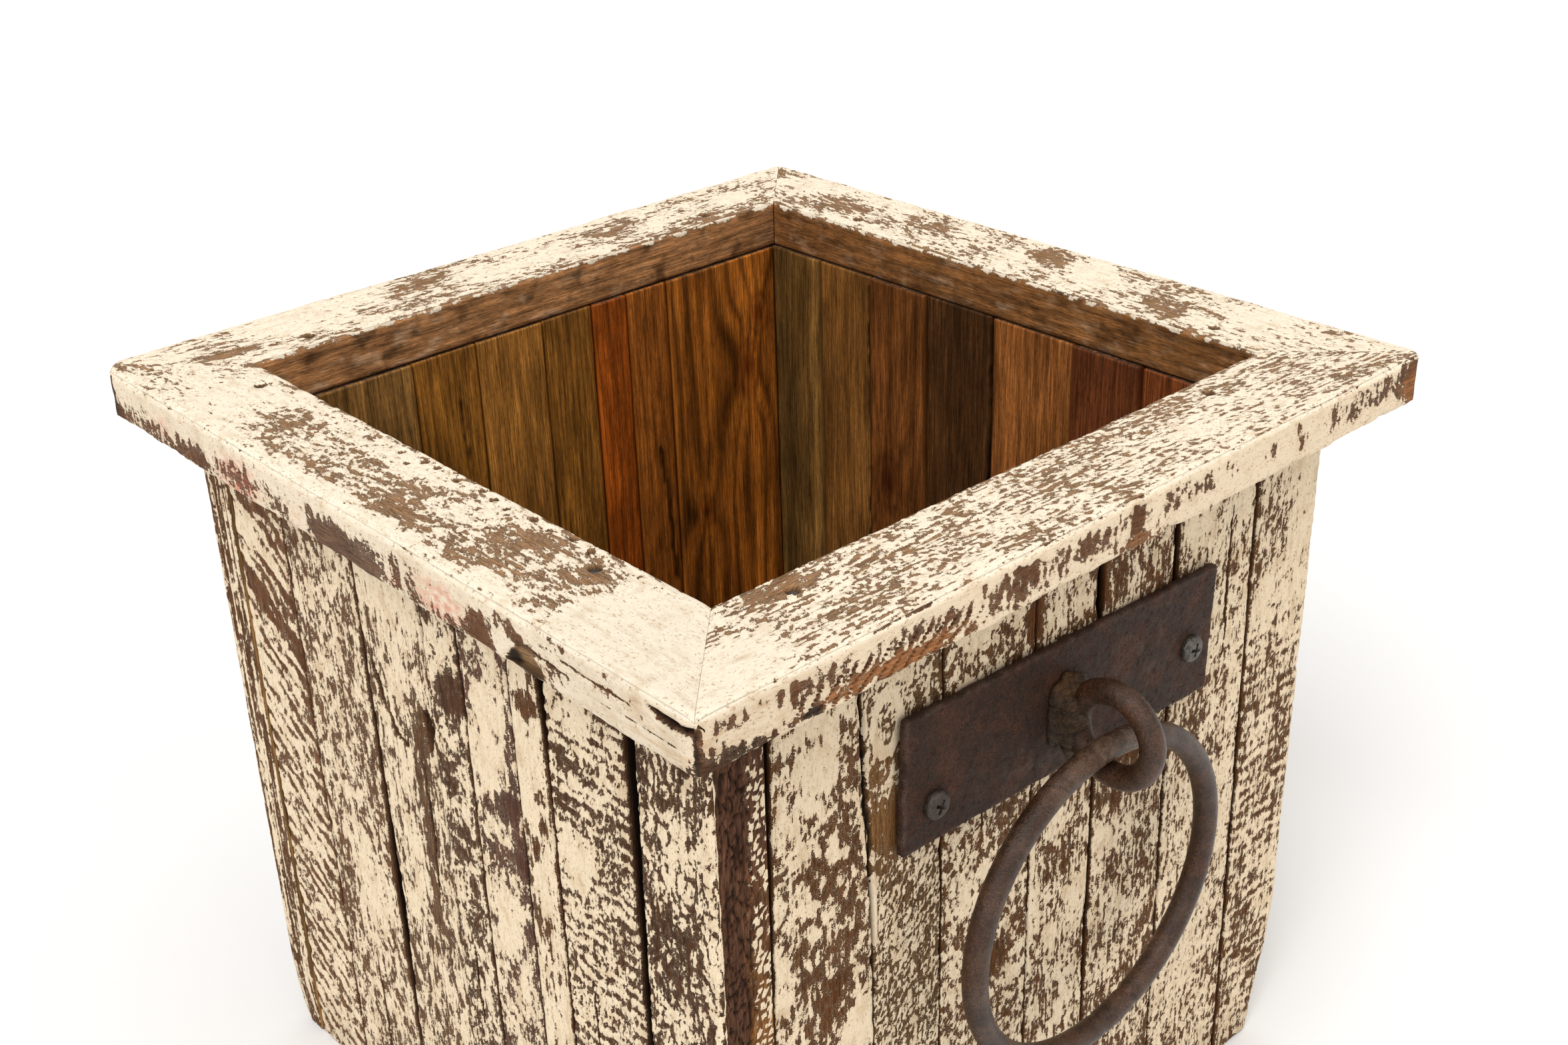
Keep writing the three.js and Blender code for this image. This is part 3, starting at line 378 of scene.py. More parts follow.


# cracks and lighter strips in the inner faces, the cracks painted dark as painted shade: (points or position, half
# width)
INNER_CRACKS = {"back": [([(-50, 186), (-53, 160), (-55, 126)], 1.1), ([(38.5, 240), (38, 190), (38.6, 120)], 0.5)],
                "right": [([(-2, 250), (-2.6, 215), (-1.6, 180), (-2.4, 130)], 1.2), ([(60.6, 250), (60.2, 180), (60.8, 120)], 0.6)]}
INNER_STRIPS = {"right_stave_7": [(92.0, 2.2, 1.0), (108.0, 3.5, -0.35)], "back_stave_1": [(-100.0, 5.0, 0.45), (-66.0, 3.0, -0.4)],
                "back_stave_3": [(-26.0, 2.5, 0.35)], "right_stave_5": [(36.0, 3.0, -0.3)], "right_stave_3": [(-12.0, 3.0, 0.35)]}


def figure(base, u, v, seed, pitch, contrast, knots):
    """Colour of planed wood with growth stripes along v and a few knots."""
    w = u + 3.2 * noise(u / 24.0, v / 120.0, seed) + 1.2 * noise(u / 9.0, v / 60.0, seed + 1)
    dark = np.zeros(np.shape(u))
    for ku, kv, kr in knots:
        dx, dz = u - ku, (v - kv) * 0.62
        r = np.hypot(dx, dz)
        w = w + 2.4 * kr * np.tanh(dx / kr) * np.exp(-(r / (2.2 * kr)) ** 2)
        dark = np.maximum(dark, np.exp(-(r / (0.75 * kr)) ** 2))
        dark = np.maximum(dark, 0.45 * np.exp(-((r - 1.1 * kr) / (0.28 * kr)) ** 2))
    s = 0.5 + 0.5 * np.sin(2 * np.pi * w / pitch + 1.6 * noise(w / 8.0, v / 70.0, seed + 2))
    t = 0.5 + 0.5 * noise(w / 0.9, v / 45.0, seed + 3)
    vein = smooth(0.35, 0.8, noise(w / 1.4, v / 60.0, seed + 6))
    blotch = 1 + 0.16 * fbm(u / 26.0, v / 60.0, seed + 4, 2)
    k = (1 - contrast * s ** 2.2) * (1 - 0.26 * t) * (1 - 0.30 * vein) * blotch
    col = np.asarray(base)[None, :] * k.reshape(-1, 1)
    kn = dark.reshape(-1, 1)
    fleck = smooth(0.40, 0.85, fbm(u / 3.2, v / 26.0, seed + 8, 3))
    col = col * (1 - 0.34 * fleck).reshape(-1, 1)
    return col * (1 - 0.72 * kn * np.array([[0.8, 1.0, 1.05]]))


# ---------------------------------------------------------------- meshes
def mesh_object(name, xyz, quads, caps, material, attrs=None):
    """A closed mesh from millimetre points, quads (n, 4) and cap outlines."""
    xyz = np.asarray(xyz, float) * 0.001
    v = xyz[quads]
    vol = np.einsum("ij,ij->i", v[:, 0], np.cross(v[:, 1], v[:, 2])).sum() + \
        np.einsum("ij,ij->i", v[:, 0], np.cross(v[:, 2], v[:, 3])).sum()
    for c in caps:
        p = xyz[c]
        m = p.mean(0)
        q = np.roll(p, -1, 0)
        vol += np.einsum("j,ij->i", m, np.cross(p, q)).sum()
    if vol < 0:
        quads = quads[:, ::-1]
        caps = [c[::-1] for c in caps]
    me = bpy.data.meshes.new(name)
    me.vertices.add(len(xyz))
    me.vertices.foreach_set("co", xyz.astype(np.float32).ravel())
    loops = [quads.ravel()] + [np.asarray(c) for c in caps]
    loops = np.concatenate(loops).astype(np.int32)
    starts = list(np.arange(len(quads)) * 4)
    at = len(quads) * 4
    for c in caps:
        starts.append(at)
        at += len(c)
    me.loops.add(len(loops))
    me.loops.foreach_set("vertex_index", loops)
    me.polygons.add(len(starts))
    me.polygons.foreach_set("loop_start", np.asarray(starts, np.int32))
    me.update(calc_edges=True)
    me.validate()
    flags = np.ones(len(me.polygons), bool)
    if caps:
        flags[len(quads):] = False
    me.polygons.foreach_set("use_smooth", flags)
    add_attrs(me, attrs or {})
    me.update()
    ob = bpy.data.objects.new(name, me)
    bpy.context.scene.collection.objects.link(ob)
    me.materials.append(material)
    return ob


def add_attrs(me, attrs):
    for key, val in attrs.items():
        val = np.asarray(val, np.float32)
        if val.ndim == 1:
            at = me.attributes.new(key, "FLOAT", "POINT")
            at.data.foreach_set("value", val)
        elif key in ("wood", "coat"):
            at = me.attributes.new(key, "FLOAT_COLOR", "POINT")
            at.data.foreach_set("color", np.c_[val, np.ones(len(val), np.float32)].astype(np.float32).ravel())
        else:
            at = me.attributes.new(key, "FLOAT_VECTOR", "POINT")
            at.data.foreach_set("vector", val.ravel())


def tube_quads(rows, cols, wrap_rows=False):
    j, i = np.meshgrid(np.arange(rows if wrap_rows else rows - 1), np.arange(cols), indexing="ij")
    j, i = j.ravel(), i.ravel()
    i2 = (i + 1) % cols
    j2 = (j + 1) % rows
    return np.stack([j * cols + i, j * cols + i2, j2 * cols + i2, j2 * cols + i], 1)


def rect_loop(spans):
    """Loop round a rectangle: kind and fraction for each point. spans: point counts of
    the outer face, right side, inner face and left side."""
    kind, frac = [], []
    no, nr, ni, nl = spans
    kind += [0] * no
    frac += list(np.linspace(0, 1, no))
    kind += [1] * nr
    frac += list(np.arange(1, nr + 1) / (nr + 1))
    kind += [2] * ni
    frac += list(np.linspace(0, 1, ni))
    kind += [3] * nl
    frac += list(np.arange(1, nl + 1) / (nl + 1))
    return np.array(kind), np.array(frac)


def round_corner(A, D, ca, cd, r, sa, sd):
    """Pull the points of a square corner at (ca, cd) onto an arc of radius r."""
    pa = (A - (ca - sa * r)) * sa
    pd = (D - (cd - sd * r)) * sd
    m = (pa > 0) & (pd > 0)
    L = np.maximum(np.hypot(pa, pd), 1e-9)
    k = np.where(m & (L > r), r / L, 1.0)
    A = np.where(m, (ca - sa * r) + sa * pa * k, A)
    D = np.where(m, (cd - sd * r) + sd * pd * k, D)
    return A, D


DETAIL = 1.0


def stave(wall, index, material):
    seams, inner = WALLS[wall]
    name = f"{wall}_stave_{index + 1}"
    st = STAVES[name]
    s = st["seed"] * 17 + 300
    last = index == len(inner) - 1
    fine = wall in ("front", "left")
    lo, hi = np.array(seams[index], float), np.array(seams[index + 1], float)
    step_z = (1.0 if fine else 1.2) * DETAIL
    step_a = (0.62 if fine else 0.8) * DETAIL
    zs = np.unique(np.concatenate([[0, 0.12, 0.4, 0.85], np.arange(1.6, STAVE_H - 1.2, step_z),
                                   STAVE_H - np.array([0.85, 0.4, 0.12, 0])]))
    a0 = np.interp(zs, lo[:, 0], lo[:, 1] + lo[:, 2])
    a1 = np.interp(zs, hi[:, 0], hi[:, 1] - hi[:, 2])
    wavy = 1.0 if fine else 0.35
    a0 = a0 + wavy * 0.22 * smooth(-0.1, 0.9, noise(zs / 17.0, 3.3, s)) + wavy * 0.12 * smooth(0, 0.8, noise(zs / 3.1, 8.1, s + 1))
    a1 = a1 - (0 if last else wavy) * (0.22 * smooth(-0.1, 0.9, noise(zs / 17.0, 5.7, s + 2)) + 0.12 * smooth(0, 0.8, noise(zs / 3.1, 1.1, s + 3)))
    w = float(np.mean(a1 - a0))
    t = inner[index]
    d_out = np.full(len(zs), BODY)
    d_in = BODY - t
    see_in = wall in ("back", "right")
    kind, frac = rect_loop((int(w / step_a) + 2, int(19 / step_a) if last else 7, int(w / (1.3 if see_in else 2.2)) + 2, 7))
    K = kind[None, :] + 0 * zs[:, None].astype(int)
    Fr = frac[None, :] + 0 * zs[:, None]
    Z = zs[:, None] + 0 * Fr
    A0, A1 = a0[:, None] + 0 * Fr, a1[:, None] + 0 * Fr
    # outer face height over the wall, with the worn bottom corners
    DO = np.full(Fr.shape, BODY)
    aa = np.where(K == 0, A0 + (A1 - A0) * Fr, np.where(K == 1, A1, np.where(K == 2, A1 - (A1 - A0) * Fr, A0)))
    if name == "front_stave_7":
        lim = np.interp(zs, *zip(*WORN_FRONT_RIGHT))[:, None]
        A1 = np.minimum(A1, lim + 0 * Fr)
        aa = np.where(K == 0, A0 + (A1 - A0) * Fr, np.where(K == 1, A1, np.where(K == 2, A1 - (A1 - A0) * Fr, A0)))
    if name == "right_stave_1":
        lim = np.interp(zs, *zip(*WORN_FRONT_RIGHT))[:, None]
        f = smooth(0, 1, (-69 - aa) / 44.0)
        DO = DO - (BODY - lim) * (0.30 * f + 0.70 * f * f)
    if name == "back_stave_7":
        lim = np.interp(zs, *zip(*WORN_REAR_LEFT))[:, None]
        f = smooth(0, 1, (aa - 56) / 76.0)
        DO = DO - (BODY - lim) * f
    side_in = np.where(K == 1, DO - (DO - d_in) * Fr, np.where(K == 3, d_in + (DO - d_in) * Fr, np.where(K == 0, DO, d_in)))
    A, D = aa.copy(), side_in.copy()
    depth0 = DO - D
    # pattern coordinates unrolled over the edges
    U = np.where(K == 1, A1 + depth0, np.where(K == 3, A0 - depth0, A))
    UU = -U if wall == "left" else U
    F = paint_field(st, UU.ravel(), Z.ravel())
    F = add_patches(F, UU.ravel(), Z.ravel(), PATCHES[wall], 0.72, s + 60).reshape(A.shape)
    edge = np.minimum(np.abs(U - A0), np.abs(A1 - U))
    chip = noise(Z / 7.0, U / 40.0 + st["seed"], s + 5)
    F = F - 0.35 * smooth(1.4, 0.0, edge) * smooth(-0.2, 0.6, chip)
    if last:
        F = F + (0.05 if name == "left_stave_8" else 0.35) * smooth(4.5, 1.0, A1 - U) * (K <= 1) - 0.9 * smooth(0.2, 0.8, noise(Z / 9.0, U / 9.0, s + 9)) * smooth(5, 1, np.abs(A1 + 2 - U))
    bare = np.where((K == 1) & last, 0.0, smooth(0.3, 1.5, depth0))
    if name == "back_stave_7":
        F = F + (K == 1) * (-0.50 + 0.75 * noise(depth0 / 1.1, Z / 34.0, s + 80) + 0.5 * noise(depth0 / 2.6, Z / 60.0, s + 81)) * smooth(0.0, 2.0, depth0)
    F = np.where(K == 2, -1.4, F - 1.5 * bare)
    fiss = np.zeros(A.shape)
    if name == "left_stave_8":      # its bare, crackled edge shows beside the front wall
        c1, c2 = cells(depth0 / 2.4 + 0.5 * noise(Z / 6.0, depth0 / 3.0, s + 70), Z / 5.5, s + 71)
        fiss = smooth(0.16, 0.02, c2 - c1) * (K == 1) * smooth(1.0, 3.0, depth0) * smooth(13.5, 11.5, depth0)
        long = smooth(0.30, 0.62, noise(depth0 / 1.5, Z / 22.0, s + 72)) * (K == 1) * smooth(1.5, 3.5, depth0) * smooth(14, 11, depth0)
        fiss = np.maximum(fiss, 0.8 * long)
        k1, k2 = cells(depth0 / 2.6, Z / 3.1, s + 73)
        edge_f = -0.90 + 0.5 * fbm(depth0 / 3.0, Z / 7.0, s + 74, 3) + 1.6 * smooth(9.5, 13.6, depth0 + 1.4 * noise(Z / 9.0, 3.0, s + 75)) * (smooth(0.08, 0.34, k2 - k1) - 0.12 + 0.45 * noise(Z / 11.0, depth0 / 3.0, s + 77))
        edge_f = edge_f + 1.5 * smooth(1.5, 0.4, depth0 + 0.8 * noise(Z / 6.0, 1.0, s + 76))
        F = np.where(K == 1, edge_f, F)
    woodc = np.tile(np.asarray(st["wood"]), (A.size, 1))
    if name == "left_stave_8":
        warm = smooth(7.0, 13.0, depth0 + 2.0 * noise(Z / 14.0, depth0 / 5.0, s + 91)) * smooth(215, 120, Z + 22 * noise(Z / 19.0, depth0 / 4.0, s + 92))
        strip = np.array([[0.098, 0.043, 0.023]]) + (np.array([[0.25, 0.105, 0.026]]) - np.array([[0.098, 0.043, 0.023]])) * warm.reshape(-1, 1)
        strip = strip * (1 + 0.45 * noise(depth0 / 0.9, Z / 5.0, s + 93)).reshape(-1, 1)
        woodc = np.where(((K == 1) & (depth0 > 1.2)).reshape(-1, 1), strip, woodc)
    tone = 1 + 0.20 * fbm(UU.ravel() / 5.0, Z.ravel() / 26.0, s + 11, 3) + 0.10 * noise(UU.ravel() / 1.3, Z.ravel() / 30.0, s + 14)
    woodc = woodc * tone[:, None]
    coat = np.tile(np.asarray(st["paint"]), (A.size, 1))
    dirt = 0.5 + 0.5 * fbm(UU.ravel() / 7.0, Z.ravel() / 11.0, s + 16, 3)
    coat = coat * (1 - 0.22 * smooth(0.5, 1.0, dirt)[:, None] * np.array([0.75, 1.0, 1.3]))
    soot = smooth(0.25, 0.9, fbm(UU.ravel() / 2.2, Z.ravel() / 16.0, s + 18, 3))
    coat = coat * (1 - 0.20 * soot[:, None] * np.array([0.8, 1.0, 1.25]))
    coat = coat * (1 - 0.28 * smooth(30, 0, Z.ravel())[:, None] * dirt[:, None])
    if wall == "front" and index == 1:      # ochre board, barest beside the plate
        m = (spot(UU, Z, -70, 198, 8, 19, 0, 0.6)).ravel()[:, None]
        woodc = woodc * (1 + 0.85 * m)
        F = F - 0.45 * m.reshape(F.shape)
        beadline = smooth(2.0, 0.7, U - A0) * smooth(146, 156, Z) * smooth(240, 228, Z) * smooth(-0.5, -0.1, noise(Z / 7.0, 2.2, s + 78)) * (K != 2)
        F = F + 1.5 * beadline
        loops = np.abs(np.hypot((UU + 70) / 5.0, (Z - 224) / 9.0) - 1)
        F = F + 0.9 * smooth(0.34, 0.12, loops) * (K == 0)
    # face form: set-back, undulation, grain ridges, saw marks, paint thickness
    off = st["proud"]
    form = off + 0.22 * (1 + noise(UU / 21.0, Z / 70.0, s + 20)) * 0.6
    ridge = noise(UU / 1.15, Z / 24.0, s + 21) + 0.6 * noise(UU / 2.6, Z / 40.0, s + 22)
    rough = fbm(UU / 1.7, Z / 2.6, s + 23, 2)
    mask = smooth(-0.06, 0.10, F)
    if wall == "front" and index == 1:
        form = form - 0.45 * beadline
    disp = form + (0.13 - 0.05 * mask) * (ridge + 0.8) + 0.06 * (rough + 0.8) + 0.17 * (1 - mask)
    if st["saw"]:
        pitch, ang, amp = st["saw"][:3]
        r = np.radians(ang)
        ph = (Z * np.cos(r) + UU * np.sin(r)) / pitch + 0.35 * noise(UU / 14.0, Z / 14.0, st["seed"] * 13 + 13)
        disp = disp + 0.10 * (1 - np.sin(2 * np.pi * ph))
    crackmask = np.zeros(A.shape)
    for pts, half, deep in CRACKS[wall]:
        dist, along = line_distance(UU + 0.5 * noise(Z / 5.0, 1.5, 77), Z, pts)
        hw = half * (0.35 + 0.65 * np.sin(np.pi * np.clip(along, 0.02, 0.98)) ** 0.7)
        c = 1 - smooth(0.5, 1.25, dist / np.maximum(hw, 0.1))
        crackmask = np.maximum(crackmask, c)
        disp = disp + 1.5 * deep * c
    F = F - 2.0 * crackmask
    # the cracks are darkened nearly to black: painted shade in the cracks
    woodc = woodc * (1 - 0.96 * crackmask.reshape(-1, 1))
    # the side faces between boards darken with depth from the outer face: painted shade in the gaps
    gap = np.where(((K == 1) & (not last)) | (K == 3), smooth(0.3, 1.9, depth0), 0.0)
    woodc = woodc * (1 - 0.90 * gap.reshape(-1, 1))
    if name in ("front_stave_1", "left_stave_8"):
        # the bare corner board is crackled; that is made above for left_stave_8, and nothing is done here
        pass
    disp = np.maximum(disp, 0.02)
    # the crackle fissures in this bare edge are darkened: painted shade in the fissures
    woodc = woodc * (1 - 0.82 * fiss.reshape(-1, 1))
    # arrises
    rad0 = 0.7 + 0.35 * noise(zs / 8.0, 0.3, s + 30) + 1.5 * smooth(0.35, 0.85, noise(zs / 11.0, 4.3, s + 31))
    rad1 = 0.7 + 0.35 * noise(zs / 8.0, 2.3, s + 32) + 1.5 * smooth(0.35, 0.85, noise(zs / 11.0, 6.3, s + 33))
    if last:
        rad1 = CORNER_R + 0.5 * noise(zs / 14.0, 2.9, s + 34) + 1.2 * smooth(0.3, 0.9, noise(zs / 8.0, 9.9, s + 35)) - 0.9
    rad0, rad1 = rad0[:, None], rad1[:, None]
    A, D = round_corner(A, D, A1, DO, rad1, 1, 1)
    A, D = round_corner(A, D, A0, DO, rad0, -1, 1)
    A, D = round_corner(A, D, A1, d_in, 0.9, 1, -1)
    A, D = round_corner(A, D, A0, d_in, 0.9, -1, -1)
    wo = np.where(K == 0, 1.0, np.where(K == 2, 0.0, smooth(6.0, 0.5, depth0)))
    D = D - disp * wo
    if last:
        A = A - np.where(K == 1, 0.12 * (ridge + 0.8) + 0.14 * (1 - mask) + 0.15 + 0.9 * fiss, 0) * smooth(0, 1.5, depth0)
    if see_in or True:
        ins = 0.05 * (1 + noise(A / 1.1, Z / 30.0, s + 40)) + 0.12 * (1 + noise(A / 30.0, Z / 60.0, s + 41))
        D = D + np.where(K == 2, ins, 0)
    # end arrises
    e = 0.85
    zz = np.minimum(zs, STAVE_H - zs)
    inset = np.where(zz < e, e - np.sqrt(np.maximum(e * e - (e - zz) ** 2, 0)), 0)[:, None]
    lo_d, hi_d = d_in + inset, (DO - disp * wo) - inset
    A = np.clip(A, A0 + inset, A1 - inset)
    D = np.clip(D, lo_d, np.maximum(hi_d, lo_d + 0.5))
    # inner face colour
    base, pitch, contrast, knots = INNER[name]
    inn = figure(base, A.ravel(), Z.ravel(), s + 50, pitch, contrast, knots)
    inn = inn * {"right": np.array([[1.0, 0.93, 0.76]]), "back": np.array([[1.0, 0.96, 0.86]])}.get(wall, 1.0)
    # the inner cracks and seam lines are darkened with no groove cut: painted shade
    for pts, half in INNER_CRACKS.get(wall, []):
        dist, along = line_distance(A.ravel() + 0.8 * noise(Z.ravel() / 6.0, 2.5, 78), Z.ravel(), pts)
        inn = inn * (1 - 0.88 * (1 - smooth(0.5 * half, 1.4 * half, dist)))[:, None]
    for pos, half, gain in INNER_STRIPS.get(name, []):
        inn = inn * (1 + gain * np.exp(-((A.ravel() + 0.7 * noise(Z.ravel() / 30.0, 4.5, 79) - pos) / half) ** 2))[:, None]
    fade = (np.where(K == 2, 1.0, np.where((K == 1) & last, 0.0, smooth(10.0, 16.0, depth0)))).reshape(-1, 1)
    woodc = woodc * (1 - fade) + inn * fade
    gc = np.stack([UU.ravel() + st["seed"] * 61.7, Z.ravel(), D.ravel() * 0 + st["seed"] * 3.1], 1)
    X, Y, ZZ = to_world(wall, A, D, Z)
    xyz = np.stack([X.ravel(), Y.ravel(), ZZ.ravel()], 1)
    rows, cols = A.shape
    caps = [np.arange(cols)[::-1], (rows - 1) * cols + np.arange(cols)]
    ob = mesh_object("seen_" + name, xyz, tube_quads(rows, cols), caps, material,
                     {"field": F.ravel(), "wood": np.clip(woodc, 0, 1), "coat": np.clip(coat, 0, 1), "gc": gc, "satin": fade.ravel()})
    ob.data.materials.append(INNER_WOOD)
    ob.data.materials.append(END_WOOD)
    mid = np.zeros(len(ob.data.polygons), np.int32)
    kq = np.tile(kind == 2, (rows - 1, 1))
    kq = kq & np.roll(kq, -1, 1)
    mid[:kq.size] = kq.ravel()
    mid[-len(caps):] = 2
    ob.data.polygons.foreach_set("material_index", mid)
    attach(ob, "box")
    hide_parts(name)
    return ob


# ---------------------------------------------------------------- rim
RIM_STYLE = {
    # top, outer edge
    "front": (style(seed=61, cover=0.12, big=(0.28, 12), mid=(0.5, 1.5), fine=(0.5, 0.75), aspect=2.7, lean=-6, streak=0.42, paint=(0.83, 0.735, 0.585)),
              style(seed=62, cover=0.46, big=(0.25, 12), mid=(0.42, 2.6), fine=(0.36, 1.1), aspect=1.7, lean=-14, streak=0.4)),
    "right": (style(seed=63, cover=0.20, big=(0.42, 13), mid=(0.52, 2.4), fine=(0.46, 1.0), aspect=2.0, lean=5, streak=0.3, paint=(0.83, 0.73, 0.58)),
              style(seed=64, cover=0.14, big=(0.4, 12), mid=(0.48, 2.8), fine=(0.4, 1.1), aspect=1.6, streak=0.3)),
    "back": (style(seed=65, cover=0.25, big=(0.4, 14), mid=(0.5, 2.3), fine=(0.46, 1.0), aspect=2.2, lean=4, streak=0.3, paint=(0.83, 0.73, 0.58)),
             style(seed=66, cover=0.12, big=(0.4, 12), mid=(0.48, 2.8), fine=(0.4, 1.1), aspect=1.6, streak=0.3)),
    "left": (style(seed=67, cover=0.27, big=(0.36, 14), mid=(0.5, 2.4), fine=(0.44, 1.0), aspect=2.0, lean=-10, streak=0.25, paint=(0.81, 0.72, 0.575)),
             style(seed=68, cover=0.43, big=(0.28, 12), mid=(0.4, 2.8), fine=(0.34, 1.1), aspect=1.3, lean=0, streak=0.35)),
}
# patches on the rim's top: (x, y, half size x, half size y, angle, strength)
RIM_TOP = {
    "front": [(-100, -120, 12, 5, 0, -0.5), (-136, -141, 20, 11, 0, 0.9), (-118, -134, 9, 6, 30, 0.3), (142, -135, 11, 4, 0, -0.5), (60, -140, 30, 6, 0, 0.12),
              (-60, -133, 30, 9, 0, -0.08), (20, -128, 40, 8, 0, -0.05)],
    "left": [(-138, 12, 11, 40, 0, -0.36), (-133, -60, 12, 26, 8, -0.36), (-140, -30, 7, 30, 0, -0.2), (-116, -101, 4.5, 8, 0, -0.45), (-122, -40, 6, 40, 0, -0.12),
             (-133, -122, 20, 26, 0, 1.1), (-144, -104, 7, 14, 0, 0.6), (-136, 96, 14, 22, 0, 0.35), (-130, 62, 9, 12, 0, -0.25), (-145, 48, 6, 12, 0, -0.3),
             (-124, -84, 6, 9, 0, -0.4), (-148, 5, 3, 60, 0, 0.35), (-146, 138, 7, 12, 45, -0.15), (-140, -146, 4, 2, -35, -0.5)],
    "back": [(-116, 128, 9, 4, 0, -0.35), (-38, 138, 16, 5, 8, -0.5), (40, 138, 24, 10, 0, -0.25), (92, 120, 22, 8, 0, -0.4), (-80, 140, 24, 8, 0, 0.4), (0, 126, 20, 7, 0, 0.2)],
    "right": [(135, 60, 10, 38, 0, -0.15), (141, -7, 9, 9, 0, -0.55), (130, -68, 10, 9, 0, -0.5), (126, 100, 9, 14, 0, -0.35), (140, 120, 8, 14, 0, 0.3), (133, -30, 14, 10, 0, 0.4),
              (134, -105, 14, 14, 0, 0.3)],
}
# patches on the rim's outer edge: (x or y, z, half width, half height, angle, strength)
RIM_OUTER = {
    "front": [(-100, 265.5, 26, 3.0, 0, -0.42), (-88, 258.4, 27, 2.7, 0, -0.85), (-149, 257, 7, 5, 0, -0.7), (-55, 264.5, 22, 3.6, 0, -0.45), (-28, 264, 20, 4.4, 0, -0.55), (-10, 263, 9, 3.5, 0, -0.4),
              (7.8, 264, 3.2, 6.5, 8, -1.1), (24, 265, 4, 3, 0, -0.5), (36, 264, 7, 3.5, -20, -0.5), (49, 266, 3, 3, 0, -0.4), (71, 263, 2, 4, 25, -0.7), (85, 264, 1.6, 5, 20, -0.8),
              (104, 266, 5, 5, 30, -0.55), (115, 265, 6, 5.5, -30, -0.5), (127, 265, 7, 5, 0, -0.7), (141, 264, 5, 8, 0, -0.9), (149, 263, 5, 12, 0, -1.5), (-115.5, 256.5, 2.8, 2.2, 0, -1.3),
              (-142, 267, 8, 2, 0, -0.4), (-138, 255.8, 15, 2.8, 0, -0.38), (-136, 264, 2.4, 3.6, 20, -0.4), (-128, 262, 1.6, 5, 0, -0.45), (-121, 263, 1.4, 5, 0, -0.45), (-122, 266, 5, 2.4, 0, -0.5), (-132, 257, 18, 2.2, 0, -0.45), (-150, 256, 4, 4, 0, -0.6), (15, 256.5, 9, 2.2, 0, -0.7), (2, 257, 5, 2, 0, -0.5),
              (-45, 258.2, 8, 2.5, 0, -0.45), (60, 258, 40, 3, 0, 0.35), (-132, 262, 9, 3, 0, 0.4), (60, 269, 60, 2, 0, 0.3), (-60, 269.5, 90, 1.6, 0, 0.35)],
    "left": [(149, 262, 3.5, 9, 0, -1.2), (115, 257, 36, 4.6, 0, -0.7), (132, 262, 14, 3, 0, -0.35), (86, 260, 8, 5, 0, -0.45), (62, 261, 11, 6, 0, -0.75), (46, 259.5, 8, 4, 0, -0.35), (36, 258, 5, 4, 0, -0.4),
             (1, 258, 20, 7.5, 0, -1.5), (-27, 262, 3.0, 6, 0, -0.8), (-34, 262, 2.4, 4, 0, -0.7), (-44, 256.5, 16, 3.2, 0, -0.7), (-66, 258.5, 6.5, 7, 0, -1.1), (-79.5, 266, 6.5, 3.6, 20, -1.2),
             (-74, 261, 3, 5, 0, 0.5), (-92, 259, 10, 4.5, 0, -0.15), (-118, 265.0, 4.5, 1.3, 0, -0.9), (-131, 264.6, 5, 1.0, 0, -0.4), (-98, 261, 3, 1.2, 0, -0.6), (-103, 254.6, 8, 1, 0, -0.7),
             (-128, 258, 18, 4, 0, 0.45), (-146, 256.4, 3, 1.8, 0, -0.4), (-150, 256, 2, 4, 0, -0.4), (-110, 257.5, 4, 0.8, 0, -0.5), (-97, 267.0, 6, 0.9, 0, -0.6), (-102, 270.5, 6, 1.6, 0, -1.0), (-122, 269.8, 10, 0.7, 0, -0.5), (-128, 260, 22, 7, 0, 0.25), (146, 258.5, 4.5, 12, 0, -2.2), (142, 256.5, 5, 4, 0, -1.0), (-50, 268.5, 90, 2, 0, 0.4),
             (25, 258, 5, 5, 0, 0.5), (92, 267, 40, 2.6, 0, 0.35)],
    "right": [(-120, 262, 14, 6, 0, -0.4), (-60, 264, 26, 4, 0, 0.3), (-10, 258, 16, 5, 0, -0.6), (50, 262, 22, 5, 0, -0.3), (110, 260, 20, 6, 0, -0.5), (85, 266, 10, 3, 0, 0.5), (-148, 262, 6, 9, 0, -0.7)],
    "back": [(-149, 262, 4, 9, 0, -1.2), (-120, 260, 20, 6, 0, -0.5), (-60, 262, 16, 4, 0, 0.4), (-15, 258, 18, 5, 0, -0.5), (40, 262, 20, 5, 0, -0.35), (90, 258, 18, 4, 0, 0.4), (130, 262, 14, 6, 0, -0.5)],
}
WORM = [(-119, 20), (-118, 9), (-117.5, 3), (-118.5, -8), (-117, -19), (-118, -26), (-119, -33), (-117.5, -44), (-118.5, -52), (-117, -61), (-118, -70), (-121, -36), (-122, 12)]


